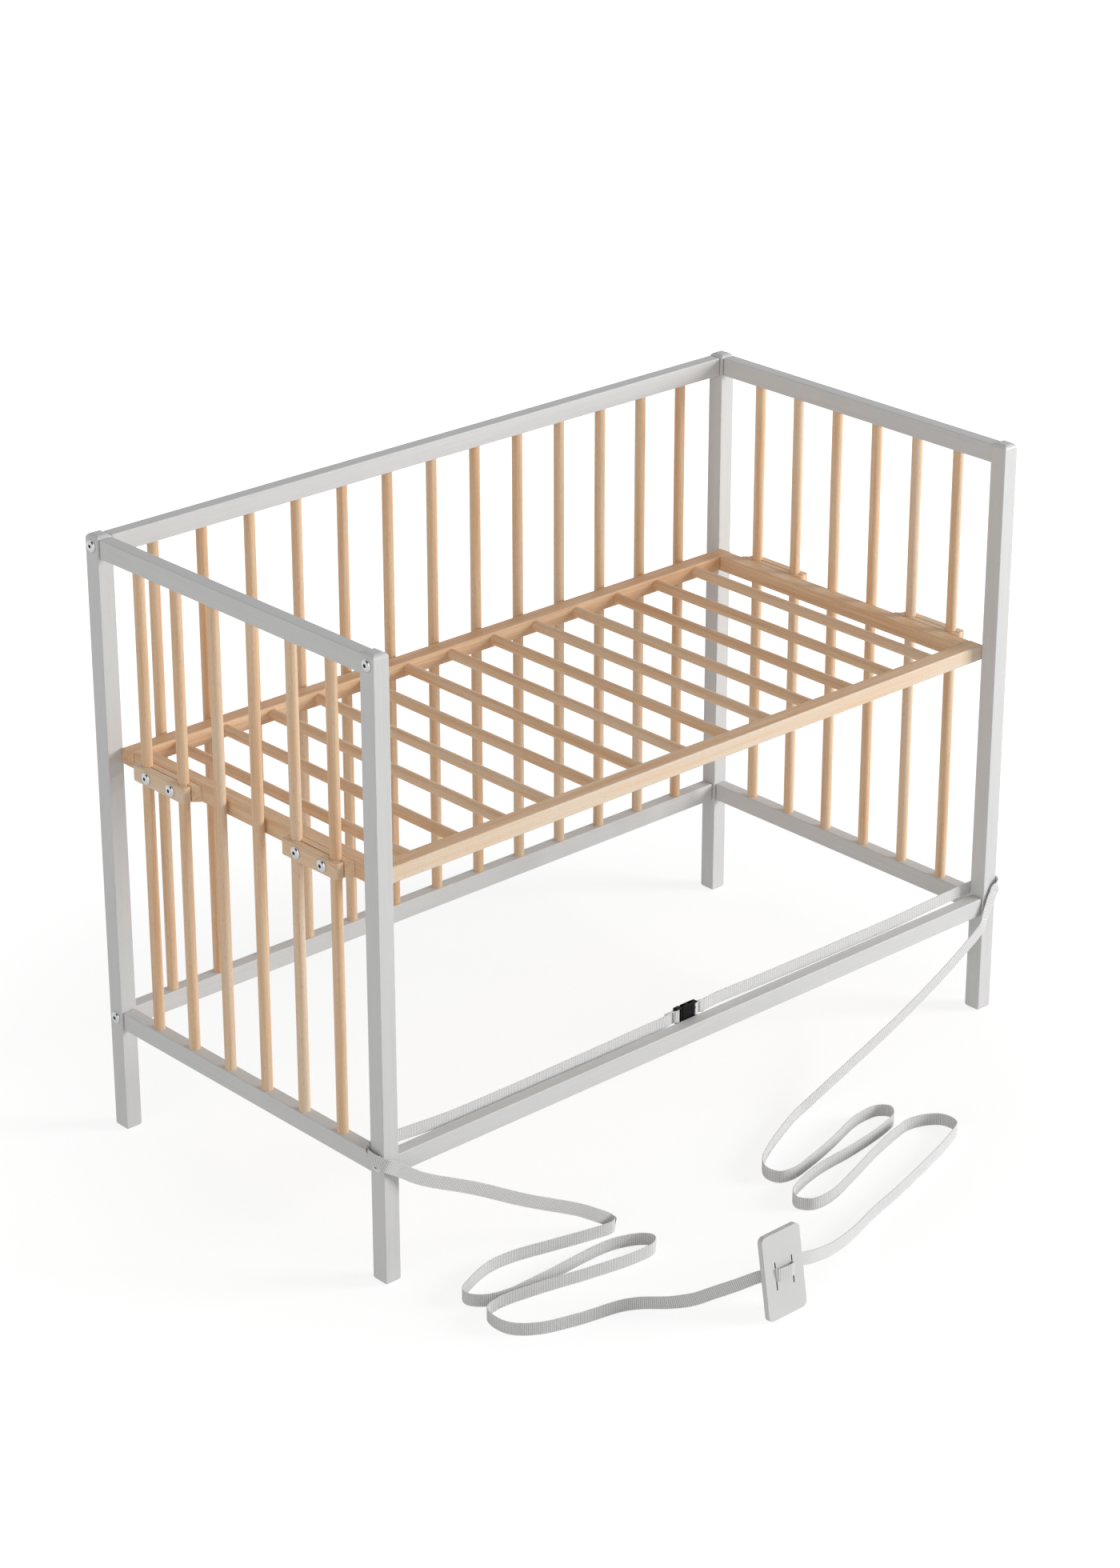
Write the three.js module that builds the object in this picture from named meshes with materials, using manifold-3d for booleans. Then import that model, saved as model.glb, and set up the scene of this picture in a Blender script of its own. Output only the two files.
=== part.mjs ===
// Bedside crib: a grey wooden frame that is open on the side of the parents' bed, a beech mattress
// base that slides on the end bars and is clamped to them, and a webbing strap with an anchor plate
// that ties the crib to the parents' bed.
// Millimetres. The origin is on the floor under the middle of the crib. +X runs along the crib,
// +Z is up, and -Y is the open side, towards the parents' bed.

import * as THREE from 'three';
import { mergeVertices } from 'three/addons/utils/BufferGeometryUtils.js';
import Module from 'manifold-3d';

const wasm = await Module();
wasm.setup();

// Overall size, over the posts
const crib_length = 980;
const crib_width = 490.4;
const crib_height = 737.5;

// Clearances
const touch_gap = 0.3;
const bore_clearance = 0.3;
const bottom_clearance = 0.5;

// Posts
const post_x = 21.2;
const post_y = 22;
const post_edge = 1;
const post_crown = 6;
const post_foot_edge = 4;

// Grey rails between the posts
const rail_thick = 15.2;
const rail_high = 21.8;
const rail_edge = 1.2;
const rail_end_edge = 2.4;
const top_rail_drop = 2.9;
const bottom_rail_lift = 132.7;
const tenon_radius = 4;
const tenon_length = 6.4;

// Beech bars between the rails
const bar_radius = 6.5;
const bar_socket_depth = 8;
const end_bar_count = 6;
const back_bar_count = 13;

// Frame bolts with their barrel nuts, through the posts into the long rails
const bolt_radius = 3;
const bolt_point_radius = 2.1;
const bolt_head_radius = 7.5;
const bolt_head_rim = 0.8;
const bolt_head_dome = 1.4;
const bolt_crown_radius = 4.6;
const bolt_socket_radius = 2.3;
const bolt_socket_depth = 1.5;
const bolt_socket_sides = 6;
const frame_bolt_grip = 32;
const frame_bolt_rise = 1.1;
const barrel_nut_radius = 5;
const barrel_nut_length = 14;
const barrel_nut_from_end = 25;
const cap_bolt_length = 17;

// Mattress base
const base_lift = 463.4;
const base_rail_high = 19;
const base_rail_wide = 21;
const base_edge = 1.6;
const base_post_clearance = 0.5;
const base_bar_clearance = 1.9;
const base_end_inset = 0.5;
const slat_radius = 6.5;
const base_tenon_radius = 5;
const base_tenon_length = 10;

// Clamps that grip two end bars each
const jaw_past_bar = 13.5;
const jaw_thick = 10.9;
const jaw_split = 0.8;
const jaw_corner = 3.4;
const jaw_edge = 0.9;
const pad_flare = 7;
const clamp_bolt_from_bar = 4.5;
const clamp_bolt_into_rail = 14;

// Strap webbing, standing on its edge
const strap_wide = 15;
const strap_thick = 1.2;
const strap_floor_gap = 0.1;
const strap_steps_per_point = 2;
const strap_tail = 13;
const strap_straight_end = 3.5;
const buckle_drop = 0.8;

// How far the taut webbing hangs down between the left post and the buckle, along the crib's length
const left_sag = [[-380, 2.8], [-308, 3.5], [-213, 2.8], [-139, 1.7]];

// Side-release buckle
const buckle_center_x = -17;
const buckle_length = 38;
const buckle_high = 20.3;
const buckle_thick = 6.6;
const buckle_end_bar = 2.4;
const buckle_slot = 4.4;
const buckle_rim = 2.2;
const male_base_length = 10;
const buckle_corner = 1.5;
const buckle_edge = 0.8;
const end_bar_inset = 0.3;
const female_wall = 1.3;
const female_pocket_depth = 18;
const guide_length = 15;
const guide_high = 3;
const prong_side_gap = 0.4;
const prong_root = 1;

// Outline of a prong, as distances out from the face of its base and in from the buckle's edge
const prong_outline = [
  [-prong_root, 5], [-prong_root, 1], [3.5, 1.6], [7.2, 0], [10.2, 0], [13.5, 1.8], [15, 3.2],
  [13.5, 3.8], [9.5, 2.6], [3.5, 4.2],
];

// Middle line of the webbing round one side of an end bar, as shares of half the bar's length and
// of the webbing's distance from the bar: out past the bar's middle, and in from its face
const end_bar_turn = [[0, 0, 0], [1, 0.3, 0], [1, 0.85, 0.6], [1, 1, 1.3]];

// Anchor plate on the strap, leaning back on the floor
const plate_wide = 57;
const plate_high = 98;
const plate_thick = 6.8;
const plate_corner = 6.5;
const plate_edge = 0.6;
const plate_lean = THREE.MathUtils.degToRad(9.4);
const plate_center_x = -210;
const plate_foot_y = -575.2;
const slit_spacing = 25.2;
const slit_length = 32.6;
const slit_lift = 49;
const strap_in_slit_lift = 50.5;

// Fineness of the round shapes
const round_sides = 12;
const small_round_sides = 8;
const corner_steps = 2;
const crown_steps = 2;
const cut_over = 1;
const merge_distance = 1e-3;

// Places that follow from the sizes
const post_center_x = crib_length / 2 - post_x / 2;
const post_center_y = crib_width / 2 - post_y / 2;
const post_inner_x = crib_length / 2 - post_x;
const post_inner_y = crib_width / 2 - post_y;
const top_rail_z = crib_height - top_rail_drop - rail_high / 2;
const bottom_rail_z = bottom_rail_lift + rail_high / 2;
const long_rail_length = 2 * (post_inner_x - touch_gap);
const end_rail_length = 2 * (post_inner_y - touch_gap);
const bar_length = top_rail_z - bottom_rail_z - rail_high + 2 * (bar_socket_depth - bottom_clearance);
const bar_z = (top_rail_z + bottom_rail_z) / 2;
const end_bar_places = barPlaces(2 * post_inner_y, end_bar_count);
const back_bar_places = barPlaces(2 * post_inner_x, back_bar_count);
const base_z = base_lift + base_rail_high / 2;
const base_outer_x = post_center_x - bar_radius - base_bar_clearance;
const base_outer_y = post_inner_y - base_post_clearance;
const base_end_face_x = base_outer_x - base_end_inset;
const base_inner_y = base_outer_y - base_rail_wide;
const clamp_y = (end_bar_places[0] + end_bar_places[1]) / 2;
const clamp_bar_offset = (end_bar_places[1] - end_bar_places[0]) / 2;
const clamp_bolt_offset = clamp_bar_offset - bar_radius - clamp_bolt_from_bar;
const jaw_end = clamp_bar_offset + jaw_past_bar;
const jaw_outer_x = post_center_x + jaw_thick;

// Finishes
const grey_paint = new THREE.MeshStandardMaterial({ color: 0xd2d2d0, roughness: 0.55, metalness: 0 });
const beech = new THREE.MeshStandardMaterial({ color: 0xdcb894, roughness: 0.6, metalness: 0 });
const bolt_steel = new THREE.MeshStandardMaterial({ color: 0xc8c8ca, roughness: 0.25, metalness: 1 });
const webbing = new THREE.MeshStandardMaterial({ color: 0xd8d8d8, roughness: 0.9, metalness: 0 });
const black_plastic = new THREE.MeshStandardMaterial({ color: 0x141414, roughness: 0.4, metalness: 0 });
const plate_grey = new THREE.MeshStandardMaterial({ color: 0xd0d0ce, roughness: 0.6, metalness: 0 });

const crib = new THREE.Group();

// Places of the bars that leave equal clear gaps over a span.
function barPlaces(span, count) {
  const gap = (span - count * 2 * bar_radius) / (count + 1);
  const places = [];
  for (let i = 0; i < count; i += 1) {
    places.push(-span / 2 + (i + 1) * gap + (2 * i + 1) * bar_radius);
  }
  return places;
}

// A closed geometry as a solid that can be joined and cut.
function solidOf(geometry) {
  const bare = geometry.clone();
  bare.deleteAttribute('normal');
  bare.deleteAttribute('uv');
  const merged = mergeVertices(bare, merge_distance);
  return new wasm.Manifold(new wasm.Mesh({
    numProp: 3,
    vertProperties: new Float32Array(merged.attributes.position.array),
    triVerts: new Uint32Array(merged.index.array),
  }));
}

// A finished solid as a geometry.
function geometryOf(solid) {
  const mesh = solid.getMesh();
  const geometry = new THREE.BufferGeometry();
  geometry.setAttribute('position', new THREE.BufferAttribute(mesh.vertProperties, 3));
  geometry.setIndex(new THREE.BufferAttribute(mesh.triVerts, 1));
  geometry.computeVertexNormals();
  return geometry;
}

// A named piece at its place in the crib.
function place(name, geometry, material, x, y, z) {
  const mesh = new THREE.Mesh(geometry, material);
  mesh.name = name;
  mesh.position.set(x, y, z);
  crib.add(mesh);
  return mesh;
}

function roundedRectangle(width, height, corner) {
  const x = width / 2;
  const y = height / 2;
  const shape = new THREE.Shape();
  shape.moveTo(-x + corner, -y);
  shape.lineTo(x - corner, -y);
  shape.absarc(x - corner, -y + corner, corner, -Math.PI / 2, 0, false);
  shape.lineTo(x, y - corner);
  shape.absarc(x - corner, y - corner, corner, 0, Math.PI / 2, false);
  shape.lineTo(-x + corner, y);
  shape.absarc(-x + corner, y - corner, corner, Math.PI / 2, Math.PI, false);
  shape.lineTo(-x, -y + corner);
  shape.absarc(-x + corner, -y + corner, corner, Math.PI, 1.5 * Math.PI, false);
  return shape;
}

function rectangle(width, height) {
  const shape = new THREE.Shape();
  shape.moveTo(-width / 2, -height / 2);
  shape.lineTo(width / 2, -height / 2);
  shape.lineTo(width / 2, height / 2);
  shape.lineTo(-width / 2, height / 2);
  return shape;
}

// A shape drawn out along Z about the middle, with its end edges rounded off.
function drawnOut(shape, length, end_edge, steps = 1) {
  const geometry = new THREE.ExtrudeGeometry(shape, {
    depth: length - 2 * end_edge,
    steps: 1,
    curveSegments: corner_steps,
    bevelEnabled: end_edge > 0,
    bevelThickness: end_edge,
    bevelSize: end_edge,
    bevelOffset: -end_edge,
    bevelSegments: steps,
  });
  geometry.translate(0, 0, -length / 2 + end_edge);
  return geometry;
}

// A straight wooden rail with eased edges and bevelled ends, lying along X or along Y.
function rail(thick, high, length, edge, end_edge, along) {
  const bar = drawnOut(roundedRectangle(thick, high, edge), length + 2 * cut_over, 0);
  const wide = rectangle(thick + cut_over, high + cut_over);
  const ends = drawnOut(wide, length, end_edge + cut_over / 2);
  const [solid, bevelled] = [bar, ends].map((geometry) => {
    geometry.rotateX(Math.PI / 2);
    if (along === 'x') {
      geometry.rotateZ(Math.PI / 2);
    }
    return solidOf(geometry);
  });
  return solid.intersect(bevelled);
}

// A round rod of a given length about a point, along one axis.
function rod(radius, length, along, x, y, z, sides = round_sides) {
  const geometry = new THREE.CylinderGeometry(radius, radius, length, sides);
  if (along === 'z') {
    geometry.rotateX(Math.PI / 2);
  }
  if (along === 'x') {
    geometry.rotateZ(Math.PI / 2);
  }
  geometry.translate(x, y, z);
  return solidOf(geometry);
}

function block(size_x, size_y, size_z, x, y, z) {
  const geometry = new THREE.BoxGeometry(size_x, size_y, size_z);
  geometry.translate(x, y, z);
  return solidOf(geometry);
}

// Blind sockets for bars, cut up or down into a rail from one of its faces.
function cutBarSockets(solid, places, along, face_z, direction) {
  let cut = solid;
  const depth = bar_socket_depth + cut_over;
  const z = face_z + direction * (bar_socket_depth - depth / 2);
  for (const at of places) {
    const x = along === 'x' ? at : 0;
    const y = along === 'x' ? 0 : at;
    cut = cut.subtract(rod(bar_radius + bore_clearance, depth, 'z', x, y, z));
  }
  return cut;
}

// Corner post: rounded crown, eased foot, a bolt bore near the top and one at the bottom rail, and
// a blind bore for the tenon of each end rail. The bores of the front top bolts end in the post.
function post(sign_x, sign_y) {
  const outline = roundedRectangle(post_x, post_y, post_edge);
  const prism = drawnOut(outline, crib_height, 0);
  prism.translate(0, 0, crib_height / 2);
  const wide = rectangle(post_x + cut_over, post_y + cut_over);
  const crown = drawnOut(wide, 2 * crib_height, post_crown, crown_steps);
  const foot = drawnOut(wide, 2 * crib_height, post_foot_edge);
  foot.translate(0, 0, crib_height);
  let solid = solidOf(prism).intersect(solidOf(crown)).intersect(solidOf(foot));
  const bore = bolt_radius + bore_clearance;
  for (const z of [bottom_rail_z, top_rail_z]) {
    const blind = sign_y < 0 && z === top_rail_z;
    const length = blind ? cap_bolt_length + bottom_clearance + cut_over : post_x + 2 * cut_over;
    const x = blind ? sign_x * (post_x / 2 + cut_over - length / 2) : 0;
    const bolt_z = z + frame_bolt_rise;
    solid = solid.subtract(rod(bore, length, 'x', x, 0, bolt_z, small_round_sides));
    const depth = tenon_length + bottom_clearance + cut_over;
    const y = -sign_y * (post_y / 2 + cut_over - depth / 2);
    solid = solid.subtract(rod(tenon_radius + bore_clearance, depth, 'y', 0, y, z, small_round_sides));
  }
  return geometryOf(solid);
}

// End rail with a round tenon at each end and six bar sockets in one face.
function endRail(face_direction) {
  let solid = rail(rail_thick, rail_high, end_rail_length, rail_edge, rail_end_edge, 'y');
  for (const side of [-1, 1]) {
    const length = 2 * tenon_length;
    const y = side * end_rail_length / 2;
    solid = solid.add(rod(tenon_radius, length, 'y', 0, y, 0, small_round_sides));
  }
  const face_z = -face_direction * rail_high / 2;
  return geometryOf(cutBarSockets(solid, end_bar_places, 'y', face_z, face_direction));
}

// Long rail with a bolt bore in each end, a little above its middle, and a cross bore from below
// for the barrel nut.
function longRail() {
  let solid = rail(rail_thick, rail_high, long_rail_length, rail_edge, rail_end_edge, 'x');
  const bore_length = frame_bolt_grip + bottom_clearance + cut_over;
  const nut_depth = rail_high / 2 + frame_bolt_rise + barrel_nut_length / 2 + bottom_clearance;
  for (const side of [-1, 1]) {
    const x = side * (long_rail_length / 2 + cut_over - bore_length / 2);
    const radius = bolt_radius + bore_clearance;
    const bore = rod(radius, bore_length, 'x', x, 0, frame_bolt_rise, small_round_sides);
    const nut_x = side * (long_rail_length / 2 - barrel_nut_from_end);
    const nut_z = -rail_high / 2 - cut_over + (nut_depth + cut_over) / 2;
    const nut_radius = barrel_nut_radius + bore_clearance;
    const nut = rod(nut_radius, nut_depth + cut_over, 'z', nut_x, 0, nut_z, small_round_sides);
    solid = solid.subtract(bore).subtract(nut);
  }
  return solid;
}

// Round-headed bolt with a six-sided socket, its head facing +X from the origin.
function bolt(length) {
  const profile = [
    [0, -length],
    [bolt_point_radius, -length],
    [bolt_radius, -length + bolt_radius - bolt_point_radius],
    [bolt_radius, 0],
    [bolt_head_radius, 0],
    [bolt_head_radius, bolt_head_rim],
    [bolt_crown_radius, bolt_head_rim + bolt_head_dome],
    [0, bolt_head_rim + bolt_head_dome],
  ].map(([r, y]) => new THREE.Vector2(r, y));
  const turned = new THREE.LatheGeometry(profile, small_round_sides);
  turned.rotateZ(-Math.PI / 2);
  const head_top = bolt_head_rim + bolt_head_dome;
  const depth = bolt_socket_depth + cut_over;
  const socket_x = head_top + cut_over - depth / 2;
  const socket = rod(bolt_socket_radius, depth, 'x', socket_x, 0, 0, bolt_socket_sides);
  return solidOf(turned).subtract(socket);
}

// Frame bolt with its barrel nut screwed on, which lies across the end of the long rail.
function frameBolt() {
  const length = touch_gap + post_x + touch_gap + frame_bolt_grip;
  const nut_x = -2 * touch_gap - post_x - barrel_nut_from_end;
  const nut = rod(barrel_nut_radius, barrel_nut_length, 'z', nut_x, 0, 0, small_round_sides);
  return bolt(length).add(nut);
}

// Clamp jaw outside the end bars, seen from above: grooves for two bars, rounded outer corners.
function clampJaw() {
  const y = jaw_end;
  const groove = bar_radius + bore_clearance;
  const inner = jaw_split / 2;
  const angle = Math.acos(inner / groove);
  const shape = new THREE.Shape();
  shape.moveTo(inner, -y);
  shape.lineTo(jaw_thick - jaw_corner, -y);
  shape.absarc(jaw_thick - jaw_corner, -y + jaw_corner, jaw_corner, -Math.PI / 2, 0, false);
  shape.lineTo(jaw_thick, y - jaw_corner);
  shape.absarc(jaw_thick - jaw_corner, y - jaw_corner, jaw_corner, 0, Math.PI / 2, false);
  shape.lineTo(inner, y);
  for (const at of [clamp_bar_offset, -clamp_bar_offset]) {
    addGroove(shape, at, groove, angle, 1);
  }
  shape.lineTo(inner, -y);
  return cutClampBolts(drawnOut(shape, base_rail_high, jaw_edge));
}

// Half of a bar's groove in the inner face of a jaw or a pad, drawn from the high Y side down.
function addGroove(shape, at, radius, angle, direction) {
  const steps = round_sides / 2;
  for (let i = 0; i <= steps; i += 1) {
    const turn = angle - (2 * angle * i) / steps;
    shape.lineTo(direction * radius * Math.cos(turn), at + radius * Math.sin(turn));
  }
}

// Pad glued to the base's end rail, inside the bars: the same grooves and ends cut at 45 degrees.
function clampPad() {
  const y = jaw_end;
  const groove = bar_radius + bore_clearance;
  const face = jaw_split / 2;
  const back = post_center_x - base_end_face_x - touch_gap;
  const angle = Math.acos(face / groove);
  const shape = new THREE.Shape();
  shape.moveTo(-face, y);
  shape.lineTo(-back, y + pad_flare);
  shape.lineTo(-back, -y - pad_flare);
  shape.lineTo(-face, -y);
  for (const at of [-clamp_bar_offset, clamp_bar_offset]) {
    addGroove(shape, at, groove, -angle, -1);
  }
  return cutClampBolts(drawnOut(shape, base_rail_high, jaw_edge));
}

function cutClampBolts(geometry) {
  let solid = solidOf(geometry);
  const length = 2 * (jaw_thick + cut_over);
  for (const side of [-1, 1]) {
    const y = side * clamp_bolt_offset;
    const bore = rod(bolt_radius + bore_clearance, length, 'x', 0, y, 0, small_round_sides);
    solid = solid.subtract(bore);
  }
  return geometryOf(solid);
}

// End rail of the base: a tenon at each end, and blind bores for the four clamp bolts.
function baseEndRail() {
  const length = 2 * (base_inner_y - touch_gap);
  const width = base_rail_wide - base_end_inset;
  let solid = rail(width, base_rail_high, length, base_edge, base_edge / 2, 'y');
  for (const side of [-1, 1]) {
    const y = side * length / 2;
    const tenon = rod(base_tenon_radius, 2 * base_tenon_length, 'y', 0, y, 0, small_round_sides);
    solid = solid.add(tenon);
    for (const offset of [-1, 1]) {
      const bolt_y = side * Math.abs(clamp_y) + offset * clamp_bolt_offset;
      const depth = clamp_bolt_into_rail + bottom_clearance + cut_over;
      const x = width / 2 + cut_over - depth / 2;
      const bore = rod(bolt_radius + bore_clearance, depth, 'x', x, bolt_y, 0, small_round_sides);
      solid = solid.subtract(bore);
    }
  }
  return geometryOf(solid);
}

// Long rail of the base, with the bores for the end rails' tenons in its inner face.
function baseLongRail(inner_direction) {
  const length = 2 * base_outer_x;
  let solid = rail(base_rail_wide, base_rail_high, length, base_edge, base_edge / 2, 'x');
  const tenon_x = base_end_face_x - (base_rail_wide - base_end_inset) / 2;
  const depth = base_tenon_length + bottom_clearance + cut_over;
  const y = inner_direction * (base_rail_wide / 2 + cut_over - depth / 2);
  for (const side of [-1, 1]) {
    const radius = base_tenon_radius + bore_clearance;
    solid = solid.subtract(rod(radius, depth, 'y', side * tenon_x, y, 0, small_round_sides));
  }
  return solid;
}

// Flat webbing along a route, with its width held as upright as the route lets it.
function strap(points) {
  const curve = new THREE.CatmullRomCurve3(points, false, 'centripetal');
  const steps = strap_steps_per_point * (points.length - 1);
  const up = new THREE.Vector3(0, 0, 1);
  const positions = [];
  const triangles = [];
  for (let i = 0; i <= steps; i += 1) {
    const middle = curve.getPoint(i / steps);
    const along = curve.getTangent(i / steps);
    const wide = up.clone().addScaledVector(along, -up.dot(along)).normalize();
    const across = new THREE.Vector3().crossVectors(along, wide);
    for (const [w, t] of [[-1, -1], [1, -1], [1, 1], [-1, 1]]) {
      const corner = middle.clone();
      corner.addScaledVector(wide, w * strap_wide / 2);
      corner.addScaledVector(across, t * strap_thick / 2);
      positions.push(corner.x, corner.y, corner.z);
    }
  }
  for (let i = 0; i < steps; i += 1) {
    for (let side = 0; side < 4; side += 1) {
      const a = 4 * i + side;
      const b = 4 * i + (side + 1) % 4;
      triangles.push(a, b, b + 4, a, b + 4, a + 4);
    }
  }
  const end = 4 * steps;
  triangles.push(0, 2, 1, 0, 3, 2, end, end + 1, end + 2, end, end + 2, end + 3);
  const geometry = new THREE.BufferGeometry();
  geometry.setAttribute('position', new THREE.Float32BufferAttribute(positions, 3));
  geometry.setIndex(triangles);
  geometry.computeVertexNormals();
  return geometry;
}

// Grey frame: posts, end frames, long rails
const ends = [['left', -1], ['right', 1]];
const sides = [['front', -1], ['rear', 1]];
for (const [end_name, sign_x] of ends) {
  for (const [side_name, sign_y] of sides) {
    const x = sign_x * post_center_x;
    const y = sign_y * post_center_y;
    place(`post_${side_name}_${end_name}`, post(sign_x, sign_y), grey_paint, x, y, 0);
  }
  place(`end_top_rail_${end_name}`, endRail(1), grey_paint, sign_x * post_center_x, 0, top_rail_z);
  place(`end_bottom_rail_${end_name}`, endRail(-1), grey_paint, sign_x * post_center_x, 0, bottom_rail_z);
  end_bar_places.forEach((y, i) => {
    const bar = geometryOf(rod(bar_radius, bar_length, 'z', 0, 0, 0));
    place(`end_bar_${end_name}_${i + 1}`, bar, beech, sign_x * post_center_x, y, bar_z);
  });
}

// Top rail at the back, with the sockets for the back bars in its underside
const back_top = cutBarSockets(longRail(), back_bar_places, 'x', -rail_high / 2, 1);
place('back_top_rail', geometryOf(back_top), grey_paint, 0, post_center_y, top_rail_z);

// Bottom rail at the back, with the thirteen bars glued into it
let back_comb = longRail();
const back_bar_length = bar_length - bar_socket_depth / 2;
for (const x of back_bar_places) {
  const top = bar_z + bar_length / 2 - bottom_rail_z;
  back_comb = back_comb.add(rod(bar_radius, back_bar_length, 'z', x, 0, top - back_bar_length / 2));
}
place('back_bottom_rail_with_bars', geometryOf(back_comb), grey_paint, 0, post_center_y, bottom_rail_z);
place('front_bottom_rail', geometryOf(longRail()), grey_paint, 0, -post_center_y, bottom_rail_z);

// Frame bolts. The front top pair only closes the bores that a front rail would use.
for (const [end_name, sign_x] of ends) {
  for (const [side_name, sign_y] of sides) {
    for (const [level_name, z] of [['bottom', bottom_rail_z], ['top', top_rail_z]]) {
      const is_cap = side_name === 'front' && level_name === 'top';
      const solid = is_cap ? bolt(cap_bolt_length) : frameBolt();
      const x = sign_x * (crib_length / 2 + touch_gap);
      const name = `frame_bolt_${level_name}_${side_name}_${end_name}`;
      const bolt_z = z + frame_bolt_rise;
      const mesh = place(name, geometryOf(solid), bolt_steel, x, sign_y * post_center_y, bolt_z);
      mesh.rotation.z = sign_x < 0 ? Math.PI : 0;
    }
  }
}

// Mattress base: two long rails, two end rails, and thirteen round slats glued into the rear rail
const base_rail_y = base_outer_y - base_rail_wide / 2;
let base_front = baseLongRail(1);
let base_rear = baseLongRail(-1);
const slat_front = -base_inner_y - (bar_socket_depth - bottom_clearance);
const slat_rear = base_inner_y + bar_socket_depth;
for (const x of back_bar_places) {
  const depth = bar_socket_depth + cut_over;
  const socket_y = base_rail_wide / 2 + cut_over - depth / 2;
  base_front = base_front.subtract(rod(slat_radius + bore_clearance, depth, 'y', x, socket_y, 0));
  const slat_y = (slat_front + slat_rear) / 2 - base_rail_y;
  base_rear = base_rear.add(rod(slat_radius, slat_rear - slat_front, 'y', x, slat_y, 0));
}
place('base_front_rail', geometryOf(base_front), beech, 0, -base_rail_y, base_z);
place('base_rear_rail_with_slats', geometryOf(base_rear), beech, 0, base_rail_y, base_z);

// End rails of the base and the clamps on them
for (const [end_name, sign_x] of ends) {
  const turn = sign_x < 0 ? Math.PI : 0;
  const rail_x = sign_x * (base_end_face_x - (base_rail_wide - base_end_inset) / 2);
  place(`base_end_rail_${end_name}`, baseEndRail(), beech, rail_x, 0, base_z).rotation.z = turn;
  for (const [side_name, sign_y] of sides) {
    const y = sign_y * Math.abs(clamp_y);
    const label = `${side_name}_${end_name}`;
    const x = sign_x * post_center_x;
    place(`clamp_pad_${label}`, clampPad(), beech, x, y, base_z).rotation.z = turn;
    place(`clamp_jaw_${label}`, clampJaw(), beech, x, y, base_z).rotation.z = turn;
    for (const [number, offset] of [[1, -1], [2, 1]]) {
      const head_x = jaw_outer_x + touch_gap;
      const length = head_x - base_end_face_x + clamp_bolt_into_rail;
      const bolt_y = y + offset * clamp_bolt_offset;
      const name = `clamp_bolt_${label}_${number}`;
      const mesh = place(name, geometryOf(bolt(length)), bolt_steel, sign_x * head_x, bolt_y, base_z);
      mesh.rotation.z = turn;
    }
  }
}

// Strap: it runs taut behind the front posts, standing on the end bottom rails, and through the
// buckle. From each post it goes round the outside of the post and over the floor to the plate.
const strap_z = bottom_rail_z + rail_high / 2 + touch_gap + strap_wide / 2;
const strap_y = -post_inner_y + touch_gap + strap_thick / 2;
const strap_floor_z = strap_wide / 2 + strap_floor_gap;

// Buckle: a hollow half on the right and a pronged half on the left, shut
const buckle_y = -post_center_y + rail_thick / 2 + touch_gap + buckle_thick / 2;
const buckle_z = strap_z - buckle_drop;
const buckle_left = buckle_center_x - buckle_length / 2;
const buckle_right = buckle_center_x + buckle_length / 2;
const mouth_x = buckle_left + male_base_length + touch_gap;
const slot_high = buckle_high - 2 * buckle_rim;
const bar_thick = buckle_thick - 2 * (strap_thick + touch_gap + end_bar_inset);

// Cuts the strap's slot beside an end bar, and thins the bar so that the webbing lies flush.
function cutStrapSlot(solid, end_x, inward) {
  const slot_x = end_x + inward * (buckle_end_bar + buckle_slot / 2);
  const slot = block(buckle_slot, 2 * buckle_thick, slot_high, slot_x, 0, 0);
  let cut = solid.subtract(slot);
  for (const side of [-1, 1]) {
    const y = side * (bar_thick / 2 + buckle_thick / 2);
    const width = buckle_end_bar + cut_over;
    const x = end_x + inward * (buckle_end_bar - width / 2);
    cut = cut.subtract(block(width, buckle_thick, slot_high, x, y, 0));
  }
  return cut;
}

function buckleFemale() {
  const length = buckle_right - mouth_x;
  const shape = roundedRectangle(length, buckle_high, buckle_corner);
  const body = drawnOut(shape, buckle_thick, buckle_edge);
  body.rotateX(Math.PI / 2);
  body.translate(mouth_x + length / 2, 0, 0);
  const pocket_length = female_pocket_depth + cut_over;
  const pocket_x = mouth_x - cut_over + pocket_length / 2;
  const pocket_thick = buckle_thick - 2 * female_wall;
  const pocket = block(pocket_length, pocket_thick, 2 * buckle_high, pocket_x, 0, 0);
  return geometryOf(cutStrapSlot(solidOf(body).subtract(pocket), buckle_right, -1));
}

function buckleMale() {
  const shape = roundedRectangle(male_base_length, buckle_high, buckle_corner);
  const base = drawnOut(shape, buckle_thick, buckle_edge);
  base.rotateX(Math.PI / 2);
  base.translate(buckle_left + male_base_length / 2, 0, 0);
  const thick = buckle_thick - 2 * female_wall - 2 * touch_gap;
  const face_x = buckle_left + male_base_length;
  const guide_x = face_x + (guide_length - prong_root) / 2;
  const guide = block(guide_length + prong_root, thick, guide_high, guide_x, 0, 0);
  let solid = solidOf(base).add(guide);
  for (const side of [-1, 1]) {
    const top = buckle_high / 2 - prong_side_gap;
    const corners = prong_outline.map(
      ([out, down]) => new THREE.Vector2(face_x + out, side * (top - down)));
    const prong = drawnOut(new THREE.Shape(corners), thick, 0);
    prong.rotateX(Math.PI / 2);
    solid = solid.add(solidOf(prong));
  }
  return geometryOf(cutStrapSlot(solid, buckle_left, 1));
}
place('buckle_female', buckleFemale(), black_plastic, 0, buckle_y, buckle_z);
place('buckle_male', buckleMale(), black_plastic, 0, buckle_y, buckle_z);

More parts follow.
